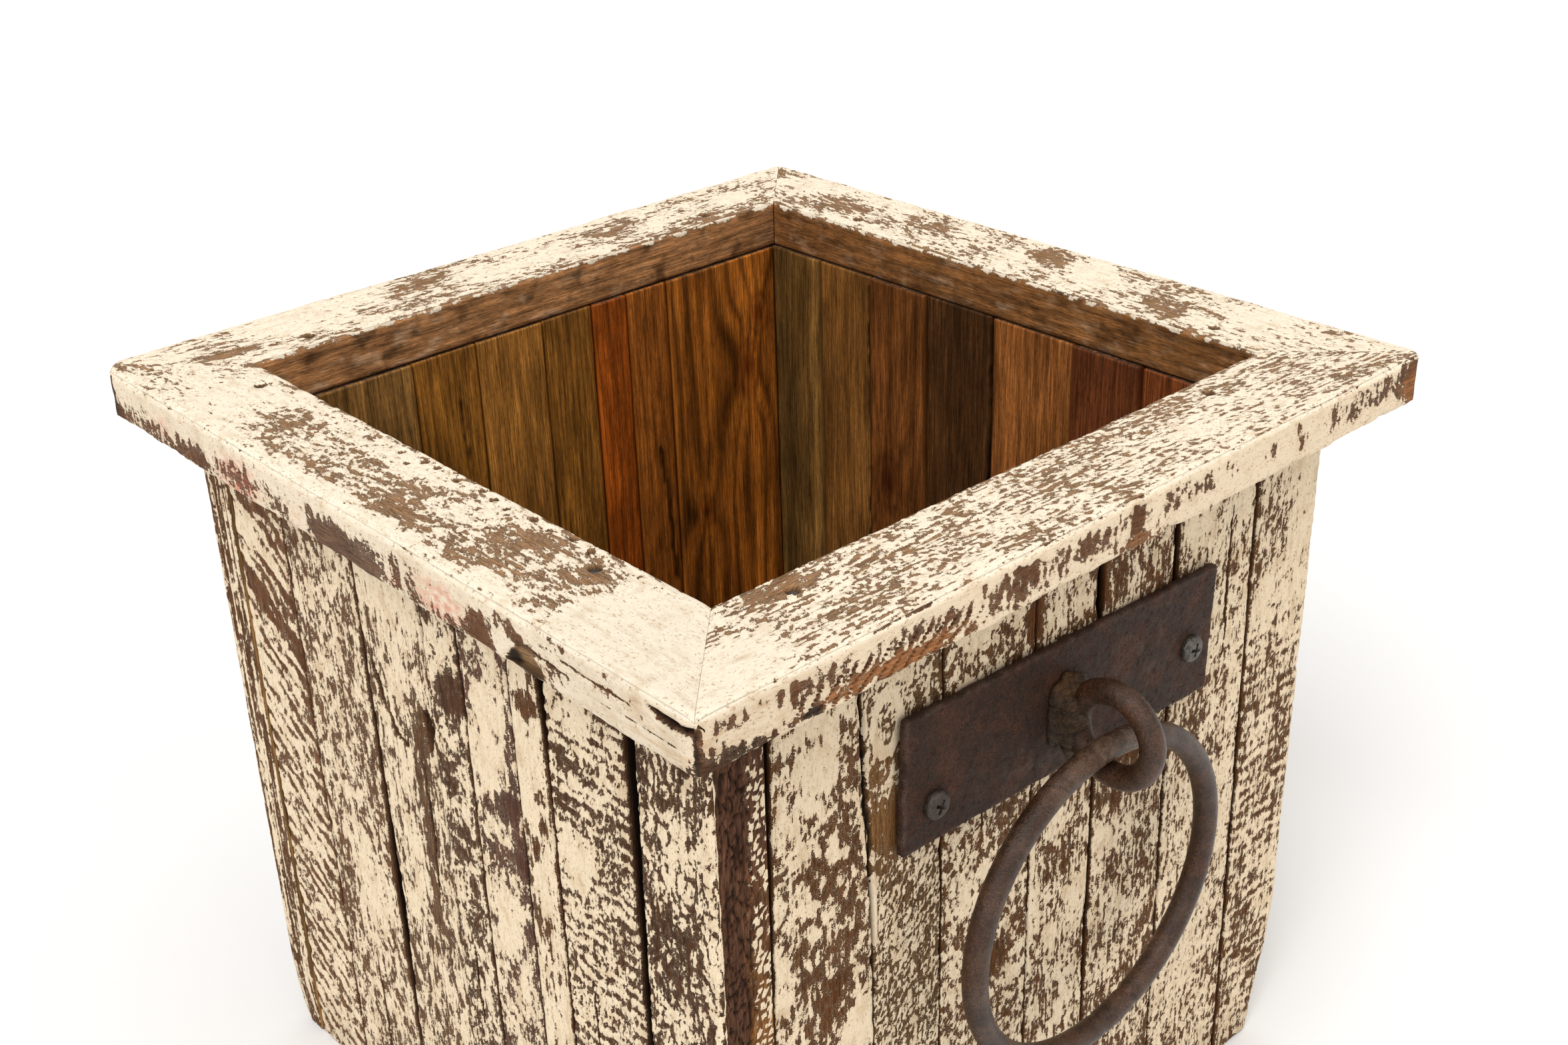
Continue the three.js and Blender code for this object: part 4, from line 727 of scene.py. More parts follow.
def rim(wall, material):
    name = f"rim_{wall}"
    top, outer = RIM_STYLE[wall]
    s = top["seed"] * 17 + 300
    lo_z = TOP - RIM_T
    sgn = {"front": 1, "right": 1, "back": -1, "left": -1}[wall]
    kind, frac = rect_loop((int(RIM_T / (0.62 * DETAIL)) + 2, int(RIM_W / (0.68 * DETAIL)), int(RIM_T / 1.1) + 2, int(RIM_W / 1.5)))
    n = int(305 / (0.85 * DETAIL))
    t = np.unique(np.concatenate([np.linspace(-1, 1, n), [-0.9985, 0.9985]]))
    Fr = frac[None, :] + 0 * t[:, None]
    K = kind[None, :] + 0 * t[:, None].astype(int)
    T = t[:, None] + 0 * Fr
    d0, d1 = RIM_OUT - RIM_W, RIM_OUT
    # kinds: 0 outer (z up), 1 top (inwards), 2 inner (z down), 3 bottom (outwards)
    D = np.where(K == 0, d1, np.where(K == 1, d1 - (d1 - d0) * Fr, np.where(K == 2, d0, d0 + (d1 - d0) * Fr)))
    Z = np.where(K == 0, lo_z + RIM_T * Fr, np.where(K == 1, TOP, np.where(K == 2, TOP - RIM_T * Fr, lo_z)))
    m = 0.045
    A = T * (D - m)
    rt = 3.2 + 0.9 * noise(A / 13.0, 0.7, s) + 1.2 * smooth(0.3, 0.9, noise(A / 7.0, 2.2, s + 1))
    rb = 2.0 + 0.7 * noise(A / 12.0, 3.7, s + 2) + 2.2 * smooth(0.25, 0.9, noise(A / 9.0, 5.2, s + 3))
    D, Z = round_corner(D, Z, d1, TOP, rt, 1, 1)
    D, Z = round_corner(D, Z, d1, lo_z, rb, 1, -1)
    D, Z = round_corner(D, Z, d0, TOP, 1.5 + 0.4 * noise(A / 9.0, 6.1, s + 4) + 1.2 * smooth(0.3, 0.9, noise(A / 10.0, 7.2, s + 5)), -1, 1)
    D, Z = round_corner(D, Z, d0, lo_z, 1.4, -1, -1)
    A = T * (D - m)
    P = sgn * A                       # world x or y along this board
    # paint: top and outer edge patterns meet on the arris
    X0, Y0, _ = to_world(wall, A, D, Z)
    Ft = paint_field(top, (D * 1.0).ravel(), A.ravel())
    Ft = add_patches(Ft, X0.ravel().copy(), Y0.ravel().copy(), RIM_TOP[wall], 0.8, s + 60).reshape(A.shape)
    Fo = paint_field(outer, P.ravel(), Z.ravel())
    Fo = add_patches(Fo, P.ravel().copy(), Z.ravel().copy(), RIM_OUTER[wall], 0.8, s + 70).reshape(A.shape)
    if wall == "front":
        rows = np.sin(2 * np.pi * (P / 4.1 + 0.6 * noise(P / 9.0, Z / 6.0, s + 8) - (Z - 262) / 20.0))
        Fo = Fo - 0.26 * rows * smooth(60, -10, P) * smooth(6, 2, np.abs(Z - 264.6)) - 0.1 * smooth(60, -10, P)
    upness = np.where(K == 0, smooth(TOP - 2.6, TOP - 1.2, Z), np.where(K == 1, 1.0, 0.0))
    F = Fo * (1 - upness) + Ft * upness
    F = F + 0.35 * np.exp(-((D - (d1 - 1.2)) ** 2 + (Z - (TOP - 1.2)) ** 2) / 5.0) * (0.6 + 0.9 * noise(P / 9.0, 4.4, s + 9))
    inner_edge = smooth(3.0, 0.3, D - d0) * (K == 1)
    F = F - 0.55 * inner_edge * smooth(-0.3, 0.5, noise(P / 8.0, 1.4, s + 10))
    mit = (D - np.abs(A))
    F = F - 0.55 * smooth(1.3, 0.1, mit) * smooth(0.1, 0.6, noise(D / 4.0, 3.0, s + 12))
    run = fbm(P / 7.0, Z / 5.0, s + 13, 4, 0.7)
    F = np.where(K == 2, 0.15 + 0.9 * run - 1.5 * smooth(TOP - 0.8, TOP - 3.2, Z + 0.8 * run), F)
    under = smooth(d1 - 1.0, d1 - 9.0 - 5 * noise(P / 9.0, 2.0, s + 14), D)
    F = np.where(K == 3, F * 0 + 0.1 + 0.5 * noise(P / 5, D / 5, s + 15) - 1.4 * under, F)
    wc = np.where((K == 1).reshape(-1, 1), np.array([[0.250, 0.135, 0.064]]), np.array([[0.135, 0.060, 0.028]]))
    tone = 1 + 0.20 * fbm(D.ravel() / 4.0, A.ravel() / 26.0, s + 20, 3) + 0.1 * noise(D.ravel() / 1.1, A.ravel() / 30.0, s + 23)
    wc = wc * tone[:, None]
    coat = np.tile(np.asarray(top["paint"]), (A.size, 1))
    dirt = 0.5 + 0.5 * fbm(P.ravel() / 9.0, (D + Z).ravel() / 6.0, s + 24, 3)
    coat = coat * (1 - 0.16 * smooth(0.55, 1.0, dirt)[:, None] * np.array([0.75, 1.0, 1.3]))
    outer_only = ((K == 0) * (1 - upness))
    coat = coat * (1 - (0.13 if wall == "front" else 0.08) * outer_only.ravel()[:, None] * np.array([0.5, 0.95, 1.5]))
    if wall in ("front", "left"):
        nearby = smooth(-96, -136, P) * outer_only
        worn = nearby * smooth(-0.15, 0.75, fbm(P / 9.0, Z / 2.0, s + 28, 4, 0.6))
        coat = coat * (1 - 0.24 * worn.ravel()[:, None] * np.array([0.65, 1.0, 1.35]))
        edge_line = smooth(2.3, 0.7, d1 - np.abs(A) + 1.0 * noise(Z / 2.2, 1.3, 45)) * smooth(-120, -140, P) * smooth(269.5, 266.0, Z) * (K == 0)
        F = F - 1.1 * edge_line
    if wall == "left":
        coat = coat * (1 - 0.06 * spot(P, D, -128, 140, 34, 40, 0, 0.5).ravel()[:, None])
    if wall == "front":
        coat = coat * (1 - 0.05 * spot(P, D, -140, 140, 30, 40, 0, 0.5).ravel()[:, None])
    soot = smooth(0.2, 0.9, fbm(D.ravel() / 2.2, A.ravel() / 15.0, s + 26, 3))
    coat = coat * (1 - 0.14 * soot[:, None] * np.array([0.8, 1.0, 1.25]))

    def tint(col, colour, weight):
        return col * (1 - weight.ravel()[:, None]) + np.asarray(colour)[None, :] * weight.ravel()[:, None]
    warp = 1.3 * noise(P / 3.0, Z / 3.0, s + 25)
    if wall == "front":
        o1 = spot(P + warp, Z, -88, 258.2, 30, 3.6, 0, 0.4) * outer_only
        o2 = spot(P + warp, Z, 148, 260, 8, 7, 0, 0.5) * outer_only
        o3 = spot(P + warp, Z, 12, 257, 10, 3, 0, 0.5) * outer_only
        wc = tint(wc, (0.38, 0.155, 0.055), np.clip(o1 + 0.8 * o2 + 0.6 * o3, 0, 1) * 0.85)
        wc = tint(wc, (0.055, 0.036, 0.024), spot(P, Z, -115.5, 256.5, 3.6, 3, 0, 0.4) * outer_only)
    if wall == "left":
        red = np.clip(1.0 * spot(P + warp, Z, 61, 259.5, 12, 7.0, 0, 0.6) + 0.55 * spot(P + warp, Z, 110, 262, 6, 4, 0, 0.6)
                      + 0.85 * spot(P + warp, Z, -48, 260.5, 10, 6.0, 0, 0.6) + 0.35 * spot(P + warp, Z, -25, 259, 4, 4, 0, 0.6)
                      + 0.25 * spot(P + warp, Z, 28, 259, 5, 4, 0, 0.6), 0, 1)
        red = red * smooth(-0.5, 0.5, fbm(P / 3.0, Z / 2.2, s + 27, 2)) * outer_only
        coat = tint(coat, (0.66, 0.235, 0.165), red * 0.95)
        wc = tint(wc, (0.30, 0.095, 0.060), red * 0.7)
        wc = tint(wc, (0.36, 0.215, 0.105), spot(P, Z, -86, 257.0, 8, 5.5, 0, 0.4) * outer_only * 0.9)
        # a dark spot where the split leaves a hole, with no hole cut: painted shade
        wc = tint(wc, (0.045, 0.028, 0.020), spot(P, Z, -78.5, 259.0, 6, 2.6, 40, 0.5) * outer_only)
        wc = tint(wc, (0.16, 0.10, 0.066), spot(P, Z, 0, 258, 22, 9, 0, 0.4) * outer_only * 0.6)
        wc = tint(wc, (0.060, 0.034, 0.021), spot(P, Z, 149, 260, 9, 12, 0, 0.5) * outer_only * 0.9)
    mask = smooth(-0.06, 0.10, F)
    ridge = noise(D / 1.2, A / 26.0, s + 31) * (K != 0) + noise(Z / 1.2, A / 26.0, s + 32) * (K == 0)
    slow = 0.5 * (1 + noise(A / 45.0, D / 40.0, s + 33))
    disp = 0.45 * slow + 0.11 * (ridge + 0.8) + 0.06 * (fbm(D / 1.6, A / 2.4, s + 34, 2) + 0.8) + 0.17 * (1 - mask)
    crack = np.zeros(A.shape)
    if wall in ("front", "left"):
        wc = tint(wc, (0.042, 0.024, 0.014), np.clip(edge_line + 0.75 * spot(P, Z, -140, 256, 15, 5, 0, 0.6) * (K == 0), 0, 1))
    cut = np.zeros(A.shape)
    if wall == "left":
        for pts, half, deep in [([(-135.5, 267.9), (-141, 266.9), (-147, 267.0), (-152.5, 267.3)], 1.75, 3.0), ([(-104, 262.2), (-88, 263.4), (-82, 262.4)], 0.5, 0.8),
                                ([(-102, 266.0), (-116, 265.4), (-128, 265.6)], 0.4, 0.3), ([(-116, 260.6), (-130, 261.4), (-145, 261.0)], 0.36, 0.25)]:
            dist, along = line_distance(P + 0.4 * noise(Z, 2.0, 5), Z, pts)
            slim = 1.0 if half < 1 else (1 - 0.50 * smooth(-143, -152, P)) * (0.35 + 0.65 * smooth(-134, -140, P))
            here = (1 - smooth(0.55, 1.1, dist / (half * slim))) * (K == 0)
            crack = np.maximum(crack, here * (1.0 if half > 1 else 0.55))
            cut = np.maximum(cut, deep * here)
            # the deep corner crack is darkened nearly to black: painted shade in the crack
            if half > 1:
                wc = wc * (1 - 0.93 * here.reshape(-1, 1))
        # a split-off sliver on the lower edge
        q = np.sqrt(((P + 86.0) / 9.5) ** 2 + ((Z - 253.0) / 9.5) ** 2)
        scoop = 3.4 * np.sqrt(np.clip(1 - q * q, 0, 1)) * smooth(-94.5, -90, P) * (K == 0)
        step = smooth(0.0, 2.4, (P + 78.5) * 0.55 - (Z - 258.5) * 0.85) * smooth(-96, -84, P) * smooth(-72, -78, P)
        disp = disp + scoop
        F = F - 2.0 * smooth(0.3, 1.0, scoop)
        wc = tint(wc, (0.34, 0.20, 0.095), smooth(0.3, 1.0, scoop) * smooth(-79.5, -82, P))
        # the step at the sliver's end is painted near-black: painted shade on the step
        wc = tint(wc, (0.030, 0.018, 0.012), smooth(0.3, 1.0, scoop) * smooth(-81.5, -79.5, P))
    if wall == "front":
        q = np.sqrt(((P + 88.0) / 32) ** 2 + ((Z - 257.6) / 3.4) ** 2)
        disp = disp + 0.9 * np.sqrt(np.clip(1 - q * q, 0, 1)) * (K == 0)
        cuts = np.abs(((P + (Z - 258) * -0.9) / 5.2 + 0.2 * noise(P / 8.0, 1.0, s + 40)) % 1.0 - 0.5)
        cm = smooth(0.10, 0.03, cuts) * spot(P, Z, -88, 259.5, 32, 5.4, 0, 0.3) * (K == 0)
        disp = disp + 0.55 * cm
        crack = np.maximum(crack, cm)
    F = F - 1.8 * crack
    # the cracks and saw cuts are darkened: painted shade in them
    wc = wc * (1 - 0.7 * crack.reshape(-1, 1))
    # worm holes and nail dents in the top, darkened inside as painted shade
    Xw, Yw, _ = to_world(wall, A, D, Z)
    for hx, hy in (WORM if wall == "left" else []):
        r = np.hypot(Xw - hx, Yw - hy)
        big = 0.62 + 0.45 * abs(math.sin(hx * 3.1 + hy * 1.7))
        hole = (1 - smooth(0.75 * big, 1.5 * big, r)) * (K == 1)
        disp = disp + 2.2 * hole
        F = F - 2.2 * hole
        # the worm holes are darkened: painted shade inside them
        wc = wc * (1 - 0.88 * hole.reshape(-1, 1))
    for hx, hy in NAILS[wall]:
        r = np.hypot(Xw - hx, Yw - hy)
        hole = (1 - smooth(1.5, 2.3, r)) * (K == 1)
        disp = disp * (1 - hole) + 2.1 * hole
        F = F - 2.0 * hole
        # the nail dents are darkened: painted shade inside them
        wc = wc * (1 - 0.85 * hole.reshape(-1, 1))
    wob = (0.6 * (1 + noise(A / 15.0, 1.9, s + 41)) + 0.35 * (1 + noise(A / 4.5, 2.9, s + 44))) * smooth(lo_z + 5, lo_z, Z) * ((K == 0) | (K == 3))
    near_out = smooth(d1 - 4.5, d1 - 1.0, D)
    D = D - (disp + cut) * np.where(K == 0, 1.0, 0) - disp * np.where(K == 3, smooth(d1 - 5, d1, D), 0)
    D = D + np.where(K == 2, 0.10 * (ridge + 0.9) + 0.2 * slow, 0)
    Z = Z - disp * np.where(K == 1, 1.0, np.where(K == 0, smooth(TOP - 3.5, TOP, Z), np.where(K == 2, smooth(TOP - 3, TOP, Z), 0)))
    Z = Z + wob * near_out
    # rounded plan corners
    radius = {"front": (6, 6), "right": (6, 6), "back": (6, 12), "left": (12, 6)}[wall]
    for side, r in ((-1, radius[0]), (1, radius[1])):
        c = RIM_OUT - r
        pa, pd = A * side - c, D - c
        inb = (pa > 0) & (pd > 0)
        L = np.maximum(np.hypot(pa, pd), 1e-9)
        lim = r - 0.15 - 0.4 * (1 + noise(Z / 5.0, A / 7.0, s + 43)) * 0.5
        k = np.where(inb & (L > lim), lim / L, 1.0)
        A = np.where(inb, (c + pa * k) * side, A)
        D = np.where(inb, c + pd * k, D)
        inside = np.where(inb, r - L * k, 99.0)
        top_lim = np.where(inside < ARRIS, TOP - (ARRIS - np.sqrt(np.clip(ARRIS ** 2 - (ARRIS - inside) ** 2, 0, None))), 999)
        Z = np.minimum(Z, np.maximum(top_lim, lo_z + 6))
    gc = np.stack([np.where(K == 0, Z, np.where(K == 2, Z + 60, D)).ravel(), A.ravel() + top["seed"] * 61.7, np.full(A.size, top["seed"] * 3.1)], 1)
    inner_wood = figure({"back": (0.56, 0.265, 0.104), "right": (0.34, 0.145, 0.046)}.get(wall, (0.30, 0.14, 0.053)), Z.ravel(), A.ravel(), s + 50, 4.6, 0.4, [])
    inner_wood = inner_wood * (1 + 0.45 * fbm(Z.ravel() / 6.0, A.ravel() / 12.0, s + 54, 3))[:, None]
    isin = (K == 2).reshape(-1, 1)
    scuff = smooth(0.05, 0.8, fbm(P.ravel() / 13.0, Z.ravel() / 5.5, s + 56, 4, 0.6)) * (1 - 0.65 * smooth(-60, 80, P.ravel()) * (wall == "back"))
    rub = 0.62 if wall == "back" else 0.30
    inner_wood = inner_wood * (1 - rub * scuff[:, None]) + np.array([[0.66, 0.44, 0.27]]) * rub * scuff[:, None]
    stainy = smooth(0.1, 0.8, fbm(P.ravel() / 10.0, Z.ravel() / 7.0, s + 58, 3))
    inner_wood = inner_wood * (1 - (0.62 if wall == "back" else 0.42) * stainy[:, None])
    wc = np.where(isin, inner_wood, wc)
    X, Y, ZZ = to_world(wall, A, D, Z)
    xyz = np.stack([X.ravel(), Y.ravel(), ZZ.ravel()], 1)
    rows, cols = A.shape
    caps = [np.arange(cols)[::-1], (rows - 1) * cols + np.arange(cols)]
    ob = mesh_object("seen_" + name, xyz, tube_quads(rows, cols), caps, material,
                     {"field": F.ravel(), "wood": np.clip(wc, 0, 1), "coat": np.clip(coat, 0, 1), "gc": gc, "satin": np.where(K == 2, 0.4, 0).ravel()})
    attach(ob, "box")
    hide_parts(name)
    return ob


# ---------------------------------------------------------------- materials
class Graph:
    def __init__(self, name):
        self.mat = bpy.data.materials.new(name)
        self.mat.use_nodes = True
        self.nt = self.mat.node_tree
        self.bsdf = self.nt.nodes["Principled BSDF"]

    def link(self, a, b):
        self.nt.links.new(a, b)

    def node(self, kind, **props):
        n = self.nt.nodes.new(kind)
        for k, v in props.items():
            setattr(n, k, v)
        return n

    def put(self, sock, value):
        if hasattr(value, "is_linked") or isinstance(value, bpy.types.NodeSocket):
            self.link(value, sock)
        else:
            sock.default_value = value

    def attr(self, name, out="Fac"):
        return self.node("ShaderNodeAttribute", attribute_name=name).outputs[out]

    def math(self, op, a, b=0.0, c=None):
        n = self.node("ShaderNodeMath", operation=op)
        self.put(n.inputs[0], a)
        self.put(n.inputs[1], b)
        if c is not None:
            self.put(n.inputs[2], c)
        return n.outputs[0]

    def scale(self, vec, by):
        n = self.node("ShaderNodeVectorMath", operation="MULTIPLY")
        self.put(n.inputs[0], vec)
        n.inputs[1].default_value = by
        return n.outputs[0]

    def noise(self, vec, scale, detail=3.0, rough=0.55, distort=0.0):
        n = self.node("ShaderNodeTexNoise")
        self.link(vec, n.inputs["Vector"])
        n.inputs["Scale"].default_value = scale
        n.inputs["Detail"].default_value = detail
        n.inputs["Roughness"].default_value = rough
        n.inputs["Distortion"].default_value = distort
        return n.outputs["Fac"]

    def step(self, value, a, b, lo=0.0, hi=1.0):
        n = self.node("ShaderNodeMapRange", interpolation_type="SMOOTHSTEP")
        self.put(n.inputs["Value"], value)
        n.inputs["From Min"].default_value = a
        n.inputs["From Max"].default_value = b
        n.inputs["To Min"].default_value = lo
        n.inputs["To Max"].default_value = hi
        return n.outputs["Result"]

    def mix(self, fac, a, b, blend="MIX"):
        n = self.node("ShaderNodeMix", data_type="RGBA", blend_type=blend)
        self.put(n.inputs["Factor"], fac)
        for s, v in ((n.inputs["A"], a), (n.inputs["B"], b)):
            pass
        ins = [i for i in n.inputs if i.type == "RGBA"]
        self.put(ins[0], a)
        self.put(ins[1], b)
        return [o for o in n.outputs if o.type == "RGBA"][0]

    def grey(self, value):
        n = self.node("ShaderNodeCombineColor")
        for i in range(3):
            self.link(value, n.inputs[i])
        return n.outputs[0]

    def bump(self, height, distance, strength=1.0):
        n = self.node("ShaderNodeBump")
        n.inputs["Distance"].default_value = distance
        n.inputs["Strength"].default_value = strength
        self.link(height, n.inputs["Height"])
        self.link(n.outputs["Normal"], self.bsdf.inputs["Normal"])


def painted_wood(name):
    g = Graph(name)
    G = g.attr("gc", "Vector")
    F = g.attr("field")
    satin = g.attr("satin")
    fine = g.noise(G, 2.3, 3.0, 0.6)
    speck = g.noise(g.scale(G, (1.0, 0.6, 1.0)), 1.15, 2.0, 0.5)
    F2 = g.math("ADD", F, g.math("MULTIPLY_ADD", fine, 0.85, -0.425))
    F2 = g.math("ADD", F2, g.math("MULTIPLY_ADD", speck, 0.75, -0.375))
    mask = g.step(F2, -0.035, 0.05)
    # wood
    grain = g.noise(g.scale(G, (1.0, 0.05, 1.0)), 1.7, 5.0, 0.62, 0.3)
    pores = g.noise(g.scale(G, (1.0, 0.09, 1.0)), 4.2, 3.0, 0.6)
    k = g.math("MULTIPLY", g.step(grain, 0.30, 0.72, 0.58, 1.42), g.step(pores, 0.38, 0.50, 0.52, 1.0))
    wood = g.mix(1.0, g.attr("wood", "Color"), g.grey(k), "MULTIPLY")
    coat = g.attr("coat", "Color")
    dust = g.math("MULTIPLY", g.step(F2, -0.50, -0.14, 0.0, 0.15), g.step(fine, 0.42, 0.62))
    wood = g.mix(dust, wood, coat)
    # a dark line in the bare wood along the paint edges: painted shadow of the flake edges
    flake_edge_shadow = g.math("MULTIPLY", g.step(F2, -0.20, -0.05, 0.0, 0.55), g.step(grain, 0.34, 0.60, 0.45, 1.0))
    wood = g.mix(flake_edge_shadow, wood, (0.034, 0.019, 0.011, 1.0))
    # paint
    stain = g.noise(g.scale(G, (1.0, 0.45, 1.0)), 0.55, 4.0, 0.6)
    film = g.mix(1.0, coat, g.grey(g.step(fine, 0.25, 0.75, 0.93, 1.06)), "MULTIPLY")
    film = g.mix(g.step(stain, 0.50, 0.74, 0.0, 0.42), film, (0.50, 0.345, 0.20, 1.0))
    dots = g.noise(g.scale(G, (1.0, 0.42, 1.0)), 1.9, 2.0, 0.5)
    film = g.mix(g.step(dots, 0.595, 0.69, 0.0, 0.60), film, (0.34, 0.20, 0.105, 1.0))
    film = g.mix(g.step(F2, 0.32, 0.04, 0.0, 0.38), film, (0.52, 0.36, 0.22, 1.0))
    colour = g.mix(mask, wood, film)
    g.link(colour, g.bsdf.inputs["Base Color"])
    r_wood = g.math("MULTIPLY_ADD", grain, 0.22, 0.66)
    r_wood = g.math("SUBTRACT", r_wood, g.math("MULTIPLY", satin, 0.30))
    r_film = g.math("MULTIPLY_ADD", fine, 0.2, 0.52)
    r = g.node("ShaderNodeMix", data_type="FLOAT")
    g.link(mask, r.inputs[0])
    g.link(r_wood, r.inputs[2])
    g.link(r_film, r.inputs[3])
    g.link(r.outputs[0], g.bsdf.inputs["Roughness"])
    g.bsdf.inputs["Specular IOR Level"].default_value = 0.10
    keep = g.math("SUBTRACT", 1.0, g.math("MULTIPLY", satin, 0.6))
    h = g.math("MULTIPLY", mask, 0.55)
    h = g.math("ADD", h, g.math("MULTIPLY", grain, g.math("MULTIPLY", keep, 0.75)))
    h = g.math("ADD", h, g.math("MULTIPLY", g.math("MULTIPLY", pores, keep), 0.25))
    h = g.math("ADD", h, g.math("MULTIPLY", g.math("MULTIPLY", fine, keep), 0.40))
    g.bump(h, 0.00028, 0.85)
    return g.mat


def inner_wood(name):
    """Planed, oiled wood for the faces inside the box."""
    g = Graph(name)
    G = g.attr("gc", "Vector")
    grain = g.noise(g.scale(G, (1.0, 0.035, 1.0)), 1.25, 6.0, 0.66, 0.5)
    pores = g.noise(g.scale(G, (1.0, 0.07, 1.0)), 4.5, 3.0, 0.6)
    blotch = g.noise(g.scale(G, (1.0, 0.3, 1.0)), 0.07, 5.0, 0.62)
    cuts = g.noise(g.scale(G, (0.12, 1.0, 1.0)), 0.55, 3.0, 0.6)
    fibre = g.noise(g.scale(G, (1.0, 0.022, 1.0)), 2.9, 5.0, 0.7, 0.2)
    col = g.mix(1.0, g.attr("wood", "Color"), g.grey(g.step(grain, 0.32, 0.70, 0.60, 1.32)), "MULTIPLY")
    col = g.mix(1.0, col, g.grey(g.step(fibre, 0.34, 0.66, 0.60, 1.36)), "MULTIPLY")
    col = g.mix(1.0, col, g.grey(g.step(pores, 0.38, 0.50, 0.58, 1.0)), "MULTIPLY")
    col = g.mix(1.0, col, g.grey(g.step(blotch, 0.30, 0.70, 0.66, 1.32)), "MULTIPLY")
    g.link(col, g.bsdf.inputs["Base Color"])
    g.link(g.math("MULTIPLY_ADD", grain, 0.26, 0.34), g.bsdf.inputs["Roughness"])
    g.bsdf.inputs["Specular IOR Level"].default_value = 0.20
    h = g.math("ADD", grain, g.math("ADD", g.math("MULTIPLY", pores, 0.35), g.math("MULTIPLY", cuts, 0.6)))
    g.bump(h, 0.00022, 0.7)
    return g.mat


def rough_wood(name, base, dark):
    """Bare sawn wood, for the floor boards and cleats."""
    g = Graph(name)
    G = g.attr("gc", "Vector")
    grain = g.noise(g.scale(G, (1.0, 0.04, 1.0)), 1.1, 6.0, 0.62, 0.4)
    pores = g.noise(g.scale(G, (1.0, 0.08, 1.0)), 3.6, 3.0, 0.6)
    blotch = g.noise(G, 0.045, 4.0, 0.6)
    soil = g.noise(G, 0.16, 5.0, 0.65)
    col = g.mix(g.step(grain, 0.35, 0.68), dark, base)
    col = g.mix(1.0, col, g.grey(g.step(pores, 0.36, 0.52, 0.66, 1.0)), "MULTIPLY")
    col = g.mix(1.0, col, g.grey(g.step(blotch, 0.3, 0.7, 0.72, 1.25)), "MULTIPLY")
    col = g.mix(g.step(soil, 0.56, 0.72, 0.0, 0.6), col, (0.045, 0.032, 0.022, 1.0))
    g.link(col, g.bsdf.inputs["Base Color"])
    g.link(g.math("MULTIPLY_ADD", grain, 0.2, 0.66), g.bsdf.inputs["Roughness"])
    g.bsdf.inputs["Specular IOR Level"].default_value = 0.3
    g.bump(g.math("ADD", grain, g.math("MULTIPLY", pores, 0.4)), 0.0004, 0.8)
    return g.mat


def end_wood(name):
    """Sawn end grain: growth rings crossed by fine rays, from object coordinates."""
    g = Graph(name)
    G = g.scale(g.node("ShaderNodeTexCoord").outputs["Object"], (1000.0, 1000.0, 1000.0))
    bend = g.noise(G, 0.045, 2.0, 0.5)
    ring = g.noise(g.scale(G, (0.55, 0.55, 0.55)), 0.95, 4.0, 0.62, 1.2)
    pores = g.noise(G, 2.6, 3.0, 0.6)
    rays = g.noise(g.scale(G, (1.0, 0.35, 1.0)), 1.5, 3.0, 0.6)
    soil = g.noise(G, 0.14, 5.0, 0.65)
    col = g.mix(g.step(ring, 0.36, 0.62), (0.060, 0.030, 0.015, 1.0), (0.20, 0.105, 0.050, 1.0))
    col = g.mix(1.0, col, g.grey(g.step(bend, 0.35, 0.65, 0.62, 1.30)), "MULTIPLY")
    col = g.mix(1.0, col, g.grey(g.step(rays, 0.34, 0.56, 0.70, 1.08)), "MULTIPLY")
    col = g.mix(1.0, col, g.grey(g.step(pores, 0.36, 0.50, 0.55, 1.0)), "MULTIPLY")
    col = g.mix(g.step(soil, 0.52, 0.70, 0.0, 0.75), col, (0.040, 0.029, 0.021, 1.0))
    g.link(col, g.bsdf.inputs["Base Color"])
    g.link(g.math("MULTIPLY_ADD", ring, 0.18, 0.70), g.bsdf.inputs["Roughness"])
    g.bsdf.inputs["Specular IOR Level"].default_value = 0.18
    g.bump(g.math("ADD", ring, g.math("ADD", g.math("MULTIPLY", pores, 0.6), g.math("MULTIPLY", rays, 0.5))), 0.0004, 0.8)
    return g.mat


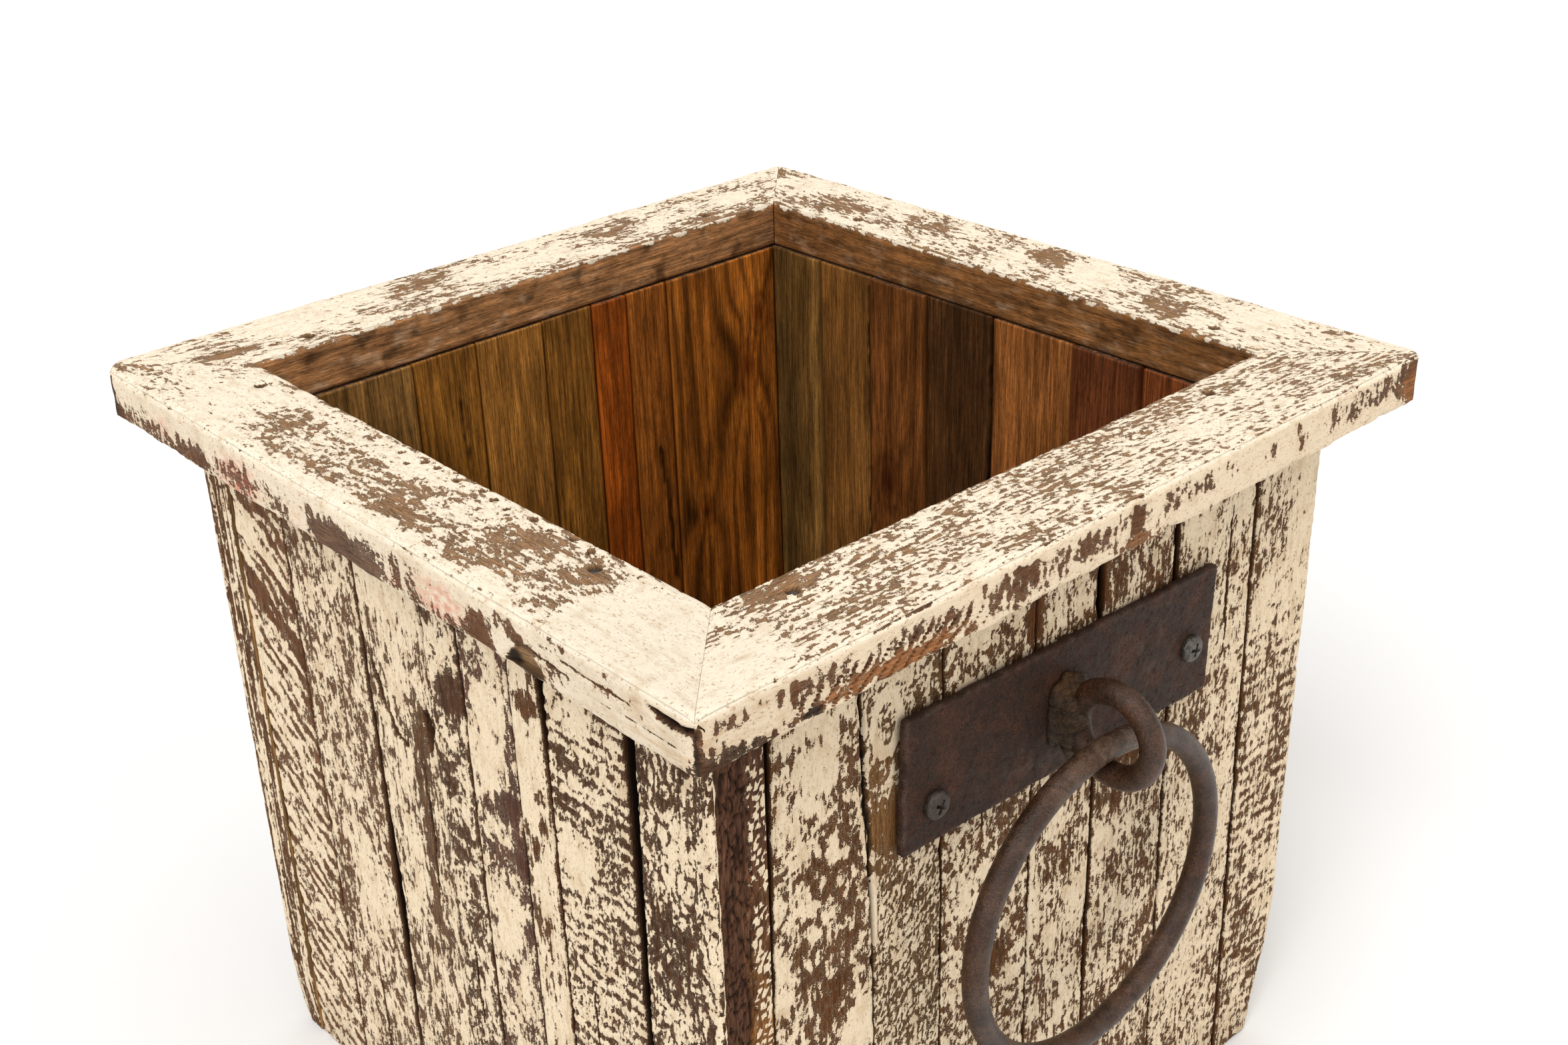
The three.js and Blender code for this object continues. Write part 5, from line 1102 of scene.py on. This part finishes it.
def iron(name, base, rust, shine, rough_lo, rough_hi, metal, bump=0.00022, spec=0.30):
    g = Graph(name)
    G = g.attr("gc", "Vector")
    wear = g.attr("wear")
    big = g.noise(G, 0.09, 4.0, 0.6)
    mid = g.noise(G, 0.42, 5.0, 0.65)
    pit = g.noise(G, 1.5, 4.0, 0.62)
    grit = g.noise(G, 3.4, 3.0, 0.6)
    sand = g.noise(G, 2.4, 2.0, 0.5)
    col = g.mix(g.step(mid, 0.36, 0.66), tuple(c * 0.62 for c in base[:3]) + (1.0,), base)
    col = g.mix(g.step(big, 0.46, 0.66, 0.0, 0.75), col, rust)
    col = g.mix(1.0, col, g.grey(g.step(pit, 0.34, 0.56, 0.55, 1.12)), "MULTIPLY")
    spots = g.math("MULTIPLY", g.step(pit, 0.60, 0.68), g.step(big, 0.38, 0.58))
    col = g.mix(g.math("MULTIPLY", spots, 0.55), col, (0.16, 0.062, 0.022, 1.0))
    w = g.math("MULTIPLY", wear, g.step(mid, 0.34, 0.60, 0.25, 1.0))
    col = g.mix(w, col, shine)
    col = g.mix(1.0, col, g.grey(g.step(sand, 0.36, 0.64, 0.66, 1.34)), "MULTIPLY")
    g.link(col, g.bsdf.inputs["Base Color"])
    rg = g.step(mid, 0.3, 0.7, rough_lo, rough_hi)
    g.link(g.math("SUBTRACT", rg, g.math("MULTIPLY", w, 0.16)), g.bsdf.inputs["Roughness"])
    g.bsdf.inputs["Metallic"].default_value = metal
    g.bsdf.inputs["Specular IOR Level"].default_value = spec
    h = g.math("ADD", g.math("MULTIPLY", pit, 0.8), g.math("MULTIPLY", grit, 0.6))
    h = g.math("ADD", h, g.math("MULTIPLY", sand, 0.6))
    h = g.math("ADD", h, g.math("MULTIPLY", mid, 1.0))
    g.bump(h, bump, 0.9)
    return g.mat


def plain_metal(name, base, dark, rough, metal):
    """Zinc and nail steel: works without attributes, from object coordinates."""
    g = Graph(name)
    G = g.scale(g.node("ShaderNodeTexCoord").outputs["Object"], (1000.0, 1000.0, 1000.0))
    a = g.noise(G, 0.7, 4.0, 0.65)
    b = g.noise(G, 3.0, 3.0, 0.6)
    col = g.mix(g.step(a, 0.40, 0.62), dark, base)
    col = g.mix(g.step(b, 0.56, 0.70, 0.0, 0.5), col, (0.10, 0.065, 0.040, 1.0))
    g.link(col, g.bsdf.inputs["Base Color"])
    g.link(g.step(a, 0.3, 0.7, rough, rough + 0.22), g.bsdf.inputs["Roughness"])
    g.bsdf.inputs["Metallic"].default_value = metal
    g.bump(g.math("ADD", a, b), 0.00008, 0.8)
    return g.mat


# ---------------------------------------------------------------- plain boards
def plank(name, body_node, u, v, w, outer, along, material, seed, end_inset=0.8, density=(1.4, 2.4)):
    """A sawn board: u across, v along, w thickness; outer is the sign of w for the finer face."""
    (u0, u1), (v0, v1), (w0, w1) = u, v, w
    vs = np.unique(np.concatenate([[v0, v0 + 0.15, v0 + 0.5, v0 + 0.9], np.arange(v0 + 1.8, v1 - 1.4, density[1] * DETAIL),
                                   v1 - np.array([0.9, 0.5, 0.15, 0])]))
    kind, frac = rect_loop((int((u1 - u0) / (density[0] * DETAIL)) + 2, 6, int((u1 - u0) / 3.0) + 2, 6))
    K = kind[None, :] + 0 * vs[:, None].astype(int)
    Fr = frac[None, :] + 0 * vs[:, None]
    V = vs[:, None] + 0 * Fr
    wo, wi = (w1, w0) if outer > 0 else (w0, w1)
    A = np.where(K == 0, u0 + (u1 - u0) * Fr, np.where(K == 1, u1, np.where(K == 2, u1 - (u1 - u0) * Fr, u0)))
    D = np.where(K == 0, wo, np.where(K == 1, wo + (wi - wo) * Fr, np.where(K == 2, wi, wi + (wo - wi) * Fr)))
    r = 1.0 + 0.4 * noise(V / 9.0, 0.5, seed) + 1.2 * smooth(0.3, 0.8, noise(V / 12.0, 3.5, seed + 1))
    so = 1 if wo > wi else -1
    A, D = round_corner(A, D, u1, wo, r, 1, so)
    A, D = round_corner(A, D, u0, wo, r, -1, so)
    A, D = round_corner(A, D, u1, wi, 0.9, 1, -so)
    A, D = round_corner(A, D, u0, wi, 0.9, -1, -so)
    saw = 0.09 * (1 + np.sin(2 * np.pi * (V * 0.94 + A * 0.34) / 3.9 + 1.4 * noise(V / 30.0, A / 30.0, seed + 2)))
    dd = 0.03 + saw + 0.12 * (1 + noise(A / 1.7, V / 32.0, seed + 3)) + 0.25 * (1 + noise(A / 34.0, V / 80.0, seed + 4)) * 0.5
    D = D - so * dd * (K == 0) + so * 0.5 * dd * (K == 2)
    e = np.minimum(vs - v0, v1 - vs)
    ins = np.where(e < end_inset, end_inset - np.sqrt(np.maximum(end_inset ** 2 - (end_inset - e) ** 2, 0)), 0)[:, None]
    A = np.clip(A, u0 + ins, u1 - ins)
    D = np.clip(D, w0 + ins, w1 - ins)
    X, Y, Z = along(A, V, D)
    xyz = np.stack([X.ravel(), Y.ravel(), Z.ravel()], 1)
    gc = np.stack([A.ravel(), V.ravel() + seed * 40.0, D.ravel() + seed * 3.0], 1)
    rows, cols = A.shape
    ob = mesh_object(name, xyz, tube_quads(rows, cols), [np.arange(cols)[::-1], (rows - 1) * cols + np.arange(cols)], material, {"gc": gc})
    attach(ob, "box")
    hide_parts(body_node)
    return ob


# ---------------------------------------------------------------- ironwork
def turned(xyz, side):
    xyz = np.asarray(xyz, float).copy()
    if side == "back":
        xyz[:, 0] *= -1
        xyz[:, 1] *= -1
    return xyz


def plate(side, material):
    """Hand-cut strip of plate: pitted face, worn edges."""
    hx, hz = PLATE_L / 2, PLATE_H / 2
    s = 700 if side == "front" else 760
    step = 0.55 * DETAIL
    nu, nv = int(PLATE_L / step), int(PLATE_H / step)
    us = np.linspace(-hx, hx, nu)
    vs = np.linspace(-hz, hz, nv)
    # front face grid, then three rings round the edge, then the back face grid
    U, V = np.meshgrid(us, vs)
    U, V = U.ravel(), V.ravel()

    def outline(u, v):
        eu = 0.35 * (1 + noise(v / 7.0, np.sign(u) * 3.0, s)) + 0.35 * smooth(0.2, 0.8, noise(v / 2.6, np.sign(u) * 5.0, s + 1))
        ev = 0.30 * (1 + noise(u / 11.0, np.sign(v) * 3.0, s + 2)) + 0.35 * smooth(0.2, 0.8, noise(u / 2.9, np.sign(v) * 7.0, s + 3))
        fu = 1 - eu / hx * (np.abs(u) / hx) ** 6
        fv = 1 - ev / hz * (np.abs(v) / hz) ** 6
        u2, v2 = u * fu, v * fv
        r = 2.2
        ca, cb = hx - r, hz - r
        pa, pb = np.abs(u2) - ca, np.abs(v2) - cb
        m = (pa > 0) & (pb > 0)
        L = np.maximum(np.hypot(pa, pb), 1e-9)
        k = np.where(m & (L > r), r / L, 1)
        return np.where(m, np.sign(u2) * (ca + pa * k), u2), np.where(m, np.sign(v2) * (cb + pb * k), v2)
    u2, v2 = outline(U, V)
    edge = np.minimum(hx - np.abs(U), hz - np.abs(V))
    bevel = 0.7
    fall = np.where(edge < bevel, bevel - np.sqrt(np.maximum(bevel ** 2 - (bevel - edge) ** 2, 0)), 0)
    pit = smooth(0.25, 0.8, fbm(U / 2.2, V / 2.2, s + 5, 3)) * 0.28
    pit2 = smooth(0.35, 0.8, fbm(U / 0.95, V / 0.95, s + 9, 2)) * 0.14
    slow = 0.22 * (1 + noise(U / 30.0, V / 22.0, s + 12)) * 0.5 + 0.10 * (1 + noise(U / 6.0, V / 5.0, s + 13))
    ham = 0.06 * (1 + noise(U / 3.4, V / 3.1, s + 14))
    t_front = PLATE_T - 0.02 - pit - pit2 - slow - ham - fall
    t_back = 0.0 + np.where(edge < 0.4, 0.15, 0)
    n = len(U)
    a = math.radians(-PLATE_TILT)
    c, sn = math.cos(a), math.sin(a)

    def place(u, v, t):
        return np.stack([PLATE_X + u * c - v * sn, PLATE_BACK - t, PLATE_Z + u * sn + v * c], 1)
    j, i = np.meshgrid(np.arange(nv - 1), np.arange(nu - 1), indexing="ij")
    j, i = j.ravel(), i.ravel()
    q = np.stack([j * nu + i, j * nu + i + 1, (j + 1) * nu + i + 1, (j + 1) * nu + i], 1)
    ring = np.concatenate([np.arange(nu), nu - 1 + nu * np.arange(1, nv), (nv - 1) * nu + np.arange(nu - 2, -1, -1), nu * np.arange(nv - 2, 0, -1)])
    m = len(ring)
    front = place(u2, v2, t_front)
    mids, ats = [], []
    for f in (0.30, 0.62):
        bulge = 0.10 * noise(np.arange(m) / 3.0, f * 9.0, s + 20) + 0.12
        gu = u2[ring] * (1 - bulge / hx * (np.abs(u2[ring]) > hx - 2.5))
        gv = v2[ring] * (1 - bulge / hz * (np.abs(v2[ring]) > hz - 2.5))
        mids.append(place(gu, gv, t_front[ring] * (1 - f)))
        ats.append(n + len(ats) * m)
    back = place(u2, v2, t_back + 0 * U)
    xyz = np.concatenate([front] + mids + [back])
    b0 = n + 2 * m
    quads = [q, q[:, ::-1] + b0]
    loops = [ring, ats[0] + np.arange(m), ats[1] + np.arange(m), b0 + ring]
    for p, r2 in zip(loops[:-1], loops[1:]):
        quads.append(np.stack([p, r2, np.roll(r2, -1), np.roll(p, -1)], 1))
    wear = smooth(2.2, 0.2, edge) * smooth(-0.3, 0.4, noise(U / 4.0, V / 4.0, s + 30)) * 0.55
    wear = wear + 0.5 * spot(U, V, -8, -13, 26, 8, 0, 0.7) * smooth(-0.2, 0.5, fbm(U / 6.0, V / 6.0, s + 31, 2))
    wear = wear + 0.4 * spot(U, V, 38, 2, 22, 12, 0, 0.8) * smooth(-0.1, 0.6, fbm(U / 5.0, V / 5.0, s + 33, 2))
    wear = np.clip(wear, 0, 1)
    w = np.concatenate([wear, wear[ring] * 0.6, wear[ring] * 0.6, wear * 0])
    ob = mesh_object(f"seen_{side}_plate", turned(xyz, side), np.concatenate(quads), [], material, {"wear": w, "gc": turned(xyz, side)})
    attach(ob, "box")
    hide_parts(f"{side}_plate")
    return ob


def bent_bar(name, side, centre, semi, bar, turns, axis, material, body, nodes, s, lump=None, flat=0.0):
    """Closed bar of round section on an oval: turns x segs, hammered."""
    n, m = turns
    th = np.arange(n) / n * 2 * np.pi
    ph = np.arange(m) / m * 2 * np.pi
    TH, PH = np.meshgrid(th, ph, indexing="ij")
    cx, cz = semi[0] * np.cos(TH), semi[1] * np.sin(TH)
    nx, nz = semi[1] * np.cos(TH), semi[0] * np.sin(TH)
    L = np.hypot(nx, nz)
    nx, nz = nx / L, nz / L
    arc = TH * (semi[0] + semi[1]) / 2
    girth = PH * bar
    per = 2 * np.pi * (semi[0] + semi[1]) / 2
    wrap = smooth(0, 0.06 * per, arc)
    h = 0.10 * (1 + noise(np.cos(TH) * 9 + PH * 0.0, np.sin(TH) * 9, s)) + \
        0.11 * (1 + noise(np.cos(TH) * semi[0] / 3.6 + np.cos(PH) * 0.9, np.sin(TH) * semi[1] / 3.6 + np.sin(PH) * 0.9, s + 1)) + \
        0.07 * (1 + noise(np.cos(TH) * semi[0] / 1.2 + np.cos(PH) * 2.6, np.sin(TH) * semi[1] / 1.2 + np.sin(PH) * 2.6, s + 3)) + \
        0.05 * (1 + noise(np.cos(TH) * semi[0] / 0.7 + np.cos(PH) * 4.6, np.sin(TH) * semi[1] / 0.7 + np.sin(PH) * 4.6, s + 5))
    rad = bar - h * 0.30
    if lump:
        la, half, size = lump
        d = ((TH - la + np.pi) % (2 * np.pi) - np.pi) * (semi[0] + semi[1]) / 2
        grow = np.sqrt(np.clip(1 - (d / half) ** 2, 0, 1))
        knob = size * (0.80 + 0.10 * noise(d / 1.7, np.cos(PH) * 1.6, s + 7) + 0.10 * noise(d / 1.4 + np.sin(PH) * 1.7, PH * 0.0 + 2, s + 8)) * (0.30 + 0.70 * grow)
        neck = -0.35 * np.exp(-((np.abs(d) - half - 0.6) / 1.1) ** 2)
        rad = np.where(np.abs(d) < half, np.maximum(rad, np.minimum(knob, size - 0.05)), rad) + neck
    o = rad * np.cos(PH)
    p = rad * np.sin(PH)
    if axis == "y":      # in the XZ plane
        xyz = np.stack([centre[0] + cx + nx * o, centre[1] + p, centre[2] + cz + nz * o], -1)
    else:                # in the YZ plane
        xyz = np.stack([centre[0] + p, centre[1] + cx + nx * o, centre[2] + cz + nz * o], -1)
    xyz = xyz.reshape(-1, 3)
    j, i = np.meshgrid(np.arange(n), np.arange(m), indexing="ij")
    j, i = j.ravel(), i.ravel()
    q = np.stack([j * m + i, j * m + (i + 1) % m, ((j + 1) % n) * m + (i + 1) % m, ((j + 1) % n) * m + i], 1)
    front_up = (-np.sin(PH) if axis == "y" else np.cos(TH) * 0 - np.cos(PH) * np.cos(TH))
    wear = 0.0 + 0.12 * np.clip(front_up, 0, 1) + 0.30 * noise(np.cos(TH) * semi[0] / 9, np.sin(TH) * semi[1] / 9, s + 11)
    # brightest where the two bars rub
    if axis == "y":
        wear = wear + 0.5 * smooth(0.5, 0.1, np.abs(TH - np.pi / 2))
    wear = np.clip(wear * (0.7 + 0.5 * smooth(0.10, 0.35, h)), 0, 1).ravel()
    wrap = None
    ob = mesh_object(name, turned(xyz, side), q, [], material, {"wear": wear, "gc": turned(xyz, side)})
    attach(ob, body)
    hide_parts(*nodes)
    return ob


def weld(side, material):
    """Fillet of weld metal round the foot of the eye, laid over the plate."""
    x, _, z = EYE[:3]
    f = PLATE_FRONT
    blobs = [(x, f - 0.2, z, 5.6, 3.4, 12.3), (x - 4.2, f - 0.4, z + 7.5, 4.4, 4.2, 5.0), (x - 4.9, f - 0.2, z - 3.0, 4.2, 3.3, 5.4),
             (x + 4.2, f - 0.2, z + 3.5, 3.9, 3.3, 6.2), (x + 3.4, f - 0.2, z - 8.0, 4.1, 3.1, 4.4), (x, f - 3.0, z + 10.4, 4.2, 3.5, 4.4),
             (x, f - 2.8, z - 10.4, 4.0, 3.2, 4.2), (x - 6.4, f - 0.1, z + 2.6, 2.6, 2.1, 2.9), (x - 2.6, f - 1.7, z + 3.0, 2.9, 3.0, 3.6),
             (x - 1.6, f - 1.6, z - 6.6, 3.0, 2.9, 3.2), (x + 2.4, f - 0.8, z + 9.6, 3.2, 3.0, 2.9),
             (x - 1.0, f - 3.9, z + 1.0, 5.1, 4.6, 9.0), (x - 3.4, f - 3.2, z + 6.0, 3.6, 4.2, 4.6), (x - 3.0, f - 3.0, z - 5.4, 3.4, 3.8, 4.4),
             (x - 5.6, f - 1.0, z + 9.4, 2.2, 1.8, 3.4), (x - 6.4, f - 0.5, z - 6.6, 2.4, 1.6, 2.2), (x - 1.5, f - 1.0, z + 13.0, 2.6, 1.7, 1.9)]
    bm = bmesh.new()
    for bx, by, bz, rx, ry, rz in blobs:
        mat = Matrix.Translation(Vector((bx, by, bz)) * 0.001) @ Matrix.Diagonal(Vector((rx, ry, rz, 1000.0)) * 0.001)
        bmesh.ops.create_icosphere(bm, subdivisions=4, radius=1.0, matrix=mat)
    me = bpy.data.meshes.new("weld")
    bm.to_mesh(me)
    bm.free()
    tmp = bpy.data.objects.new("weld", me)
    bpy.context.scene.collection.objects.link(tmp)
    mod = tmp.modifiers.new("remesh", "REMESH")
    mod.mode = "VOXEL"
    mod.voxel_size = 0.00036
    mod = tmp.modifiers.new("smooth", "SMOOTH")
    mod.factor = 0.5
    mod.iterations = 5
    ev = tmp.evaluated_get(bpy.context.evaluated_depsgraph_get())
    got = bpy.data.meshes.new_from_object(ev)
    bpy.data.objects.remove(tmp)
    n = len(got.vertices)
    co = np.zeros(n * 3, np.float32)
    got.vertices.foreach_get("co", co)
    co = co.reshape(-1, 3).astype(float) * 1000
    no = np.zeros(n * 3, np.float32)
    got.vertices.foreach_get("normal", no)
    no = no.reshape(-1, 3)
    rip = noise(co[:, 2] / 1.5 + co[:, 0] / 4.0, co[:, 0] / 3.0, 820) * 0.22 + fbm(co[:, 0] / 1.3 + co[:, 1] / 1.9, co[:, 2] / 1.2, 821, 2) * 0.20
    co = co + no * (rip - 0.15)[:, None]
    co[:, 1] = np.minimum(co[:, 1], f - 0.02)
    out = turned(co, side) * 0.001
    got.vertices.foreach_set("co", out.astype(np.float32).ravel())
    add_attrs(got, {"gc": turned(co, side), "wear": np.clip(0.12 + 0.6 * rip + 0.22 * (f - co[:, 1]) / 5.0, 0, 1)})
    got.materials.clear()
    got.materials.append(material)
    got.polygons.foreach_set("use_smooth", np.ones(len(got.polygons), bool))
    got.update()
    ob = bpy.data.objects.new(f"seen_{side}_eye_weld", got)
    bpy.context.scene.collection.objects.link(ob)
    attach(ob, "box")
    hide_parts(f"{side}_eye_weld")
    return ob


def screw(side, k, material):
    """Pan-head screw with a cross recess and a threaded shank."""
    x, z, spin = SCREWS[k]
    h, r = 2.9, 4.6
    prof = [(0.02, -h + 0.25), (1.0, -h + 0.02), (r * 0.45, -h + 0.06), (r * 0.62, -h + 0.20), (r * 0.78, -h + 0.46), (r * 0.88, -h + 0.80), (r * 0.95, -h + 1.2), (r * 0.985, -h + 1.6),
            (r, -h + 2.0), (r * 0.99, -0.3), (r * 0.97, -0.05), (r * 0.9, 0.0), (2.0, 0.0), (1.9, 0.4)]
    for i in range(22):
        prof.append((1.95 if i % 2 else 1.45, 0.8 + i * 0.42))
    prof += [(1.2, 10.6), (0.7, 12.0), (0.15, 12.95)]
    bm = bmesh.new()
    seg = 48
    rings = []
    for pr, py in prof:
        rings.append([bm.verts.new((pr * math.cos(2 * math.pi * j / seg), py, pr * math.sin(2 * math.pi * j / seg))) for j in range(seg)])
    for a, b in zip(rings[:-1], rings[1:]):
        for j in range(seg):
            bm.faces.new((a[j], a[(j + 1) % seg], b[(j + 1) % seg], b[j]))
    bm.faces.new(rings[0][::-1])
    bm.faces.new(rings[-1])
    bmesh.ops.recalc_face_normals(bm, faces=bm.faces)
    me = bpy.data.meshes.new("screw")
    bm.to_mesh(me)
    bm.free()
    ob = bpy.data.objects.new(f"seen_{side}_screw_{'left' if k == 0 else 'right'}", me)
    bpy.context.scene.collection.objects.link(ob)
    # recess: a tapered cross
    cb = bmesh.new()
    l0, w0, l1, w1, d0, d1 = 2.75, 0.55, 0.9, 0.32, -h - 0.3, -h + 1.9
    def ring_at(l, w, y):
        pts = [(l, -w), (l, w), (w, w), (w, l), (-w, l), (-w, w), (-l, w), (-l, -w), (-w, -w), (-w, -l), (w, -l), (w, -w)]
        return [cb.verts.new((px, y, pz)) for px, pz in pts]
    ra, rb = ring_at(l0, w0, d0), ring_at(l1, w1, d1)
    for j in range(12):
        cb.faces.new((ra[j], ra[(j + 1) % 12], rb[(j + 1) % 12], rb[j]))
    cb.faces.new(ra[::-1])
    cb.faces.new(rb)
    bmesh.ops.recalc_face_normals(cb, faces=cb.faces)
    cm = bpy.data.meshes.new("cross")
    cb.to_mesh(cm)
    cb.free()
    co = bpy.data.objects.new("cross", cm)
    bpy.context.scene.collection.objects.link(co)
    mod = ob.modifiers.new("recess", "BOOLEAN")
    mod.operation = "DIFFERENCE"
    mod.solver = "EXACT"
    mod.object = co
    bpy.context.view_layer.update()
    got = bpy.data.meshes.new_from_object(ob.evaluated_get(bpy.context.evaluated_depsgraph_get()))
    ob.modifiers.clear()
    bpy.data.objects.remove(co)
    n = len(got.vertices)
    v = np.zeros(n * 3, np.float32)
    got.vertices.foreach_get("co", v)
    v = v.reshape(-1, 3).astype(float)
    c, s = math.cos(spin), math.sin(spin)
    tilt = math.radians(2.0 if k == 0 else -1.5)
    p = np.stack([v[:, 0] * c + v[:, 2] * s, v[:, 1], -v[:, 0] * s + v[:, 2] * c], 1)
    p = np.stack([p[:, 0] + x, p[:, 1] + PLATE_FRONT + 0.25, p[:, 2] + z], 1)
    got.vertices.foreach_set("co", (turned(p, side) * 0.001).astype(np.float32).ravel())
    got.materials.clear()
    got.materials.append(material)
    got.polygons.foreach_set("use_smooth", np.ones(len(got.polygons), bool))
    got.update()
    old = ob.data
    ob.data = got
    bpy.data.meshes.remove(old)
    try:
        got.set_sharp_from_angle(angle=math.radians(38))
    except Exception:
        pass
    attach(ob, "box")
    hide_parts(f"{side}_screw_{'left' if k == 0 else 'right'}")
    return ob


# ---------------------------------------------------------------- camera, light, floor
cam_data = bpy.data.cameras.new("camera")
cam = bpy.data.objects.new("camera", cam_data)
bpy.context.scene.collection.objects.link(cam)
cam_data.sensor_width = 36.0
cam_data.lens = 44.4596
cam_data.clip_start, cam_data.clip_end = 0.01, 50.0
cam.matrix_world = Matrix(((0.736191, 0.326043, -0.593059, -0.3801), (-0.676194, 0.318094, -0.664514, -0.440072),
                           (-0.028012, 0.890231, 0.454646, 0.508227), (0.0, 0.0, 0.0, 1.0)))
bpy.context.scene.camera = cam

world = bpy.data.worlds.new("studio")
bpy.context.scene.world = world
world.use_nodes = True
bg = world.node_tree.nodes["Background"]
bg.inputs["Color"].default_value = (1.0, 0.991, 0.978, 1.0)
ray = world.node_tree.nodes.new("ShaderNodeLightPath")
lift = world.node_tree.nodes.new("ShaderNodeMapRange")
lift.inputs["To Min"].default_value = 0.40
lift.inputs["To Max"].default_value = 1.0
world.node_tree.links.new(ray.outputs["Is Camera Ray"], lift.inputs["Value"])
world.node_tree.links.new(lift.outputs["Result"], bg.inputs["Strength"])
bpy.context.scene.view_settings.view_transform = "Standard"
bpy.context.scene.view_settings.look = "None"
bpy.context.scene.view_settings.exposure = 0.0
bpy.context.scene.view_settings.gamma = 1.0


def soft(name, source, spread, strength, colour):
    """A wide soft light from the direction of source."""
    d = bpy.data.lights.new(name, "SUN")
    d.angle = math.radians(spread)
    d.energy = strength
    d.color = colour
    o = bpy.data.objects.new(name, d)
    bpy.context.scene.collection.objects.link(o)
    o.location = source
    o.rotation_mode = "QUATERNION"
    o.rotation_quaternion = (-Vector(source)).to_track_quat("-Z", "Y")
    return o


soft("key", (-1.25, -0.45, 1.35), 32.0, 2.08, (1.0, 0.992, 0.985))
soft("top", (0.15, 0.1, 1.9), 60.0, 1.28, (1.0, 0.985, 0.96))
soft("fill", (0.6, -1.7, 0.9), 60.0, 0.76, (1.0, 0.93, 0.86))

floor_g = Graph("studio_floor")
fg_noise = floor_g.noise(floor_g.node("ShaderNodeTexCoord").outputs["Object"], 3.0, 3.0)
floor_g.link(floor_g.mix(fg_noise, (0.80, 0.80, 0.80, 1.0), (0.83, 0.83, 0.83, 1.0)), floor_g.bsdf.inputs["Base Color"])
floor_g.bsdf.inputs["Roughness"].default_value = 0.9
fm = bpy.data.meshes.new("studio_floor")
fm.from_pydata([(-9, -9, -0.0002), (9, -9, -0.0002), (9, 9, -0.0002), (-9, 9, -0.0002)], [], [(0, 1, 2, 3)])
floor_ob = bpy.data.objects.new("studio_floor", fm)
bpy.context.scene.collection.objects.link(floor_ob)
fm.materials.append(floor_g.mat)

# ---------------------------------------------------------------- the object
WHITEWASH = painted_wood("whitewashed_wood")
INNER_WOOD = inner_wood("inner_wood")
END_WOOD = end_wood("end_wood")
FLOOR_WOOD = rough_wood("floor_wood", (0.20, 0.115, 0.058, 1.0), (0.095, 0.054, 0.028, 1.0))
CLEAT_WOOD = rough_wood("cleat_wood", (0.15, 0.090, 0.050, 1.0), (0.065, 0.040, 0.024, 1.0))
PLATE_IRON = iron("plate_iron", (0.052, 0.023, 0.012, 1.0), (0.080, 0.029, 0.012, 1.0), (0.125, 0.080, 0.058, 1.0), 0.46, 0.72, 0.0, 0.0008, 0.24)
RING_IRON = iron("ring_iron", (0.043, 0.0190, 0.0090, 1.0), (0.070, 0.027, 0.011, 1.0), (0.140, 0.086, 0.055, 1.0), 0.22, 0.38, 0.06, 0.00026, 0.36)
WELD_IRON = iron("weld_iron", (0.028, 0.014, 0.0065, 1.0), (0.100, 0.045, 0.012, 1.0), (0.110, 0.060, 0.022, 1.0), 0.22, 0.48, 0.0, 0.0006, 0.30)
ZINC_DARK = plain_metal("dark_zinc", (0.085, 0.070, 0.058, 1.0), (0.040, 0.030, 0.024, 1.0), 0.38, 0.6)
ZINC = plain_metal("dull_zinc", (0.150, 0.140, 0.125, 1.0), (0.062, 0.055, 0.048, 1.0), 0.34, 0.75)
NAIL = plain_metal("nail_steel", (0.12, 0.10, 0.085, 1.0), (0.05, 0.042, 0.036, 1.0), 0.45, 0.7)

for wall, (seams, inner) in WALLS.items():
    for i in range(len(inner)):
        ob = stave(wall, i, WHITEWASH)
    rim(wall, WHITEWASH)

IN = BODY - STAVE_T - 0.3
FW = (2 * IN - 6) / 3
for k, where in enumerate(("front", "middle", "rear")):
    y0 = -IN + k * (FW + 3)
    plank(f"seen_floor_board_{where}", f"floor_board_{where}", (y0, y0 + FW), (-IN, IN), (20.3, 35.3), 1,
          lambda A, V, D: (V, A, D), FLOOR_WOOD, 500 + 20 * k)
for where, x in (("left", -85), ("right", 85)):
    plank(f"seen_floor_cleat_{where}", f"floor_cleat_{where}", (x - 15, x + 15), (-IN, IN), (0.4, 20.0), -1,
          lambda A, V, D: (A, V, D), CLEAT_WOOD, 560 + (x > 0) * 20)

for side in ("front", "back"):
    s = 640 if side == "front" else 680
    plate(side, PLATE_IRON)
    bent_bar(f"seen_{side}_eye", side, EYE[:3], (EYE[3], EYE[3]), EYE[4], (150, 40), "x", RING_IRON, "box", [f"{side}_eye"], s)
    bent_bar(f"seen_{side}_ring", side, RING[:3], (RING[3], RING[4]), RING[5], (520, 40), "y", RING_IRON, f"{side}_drop_ring",
             [f"{side}_ring"], s + 20, lump=(math.radians(-78), 6.4, 4.85))
    weld(side, WELD_IRON)
    for k in (0, 1):
        screw(side, k, (ZINC_DARK, ZINC)[k])
for name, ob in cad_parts.items():
    if "nail" in name:
        ob.data.materials.clear()
        ob.data.materials.append(NAIL)
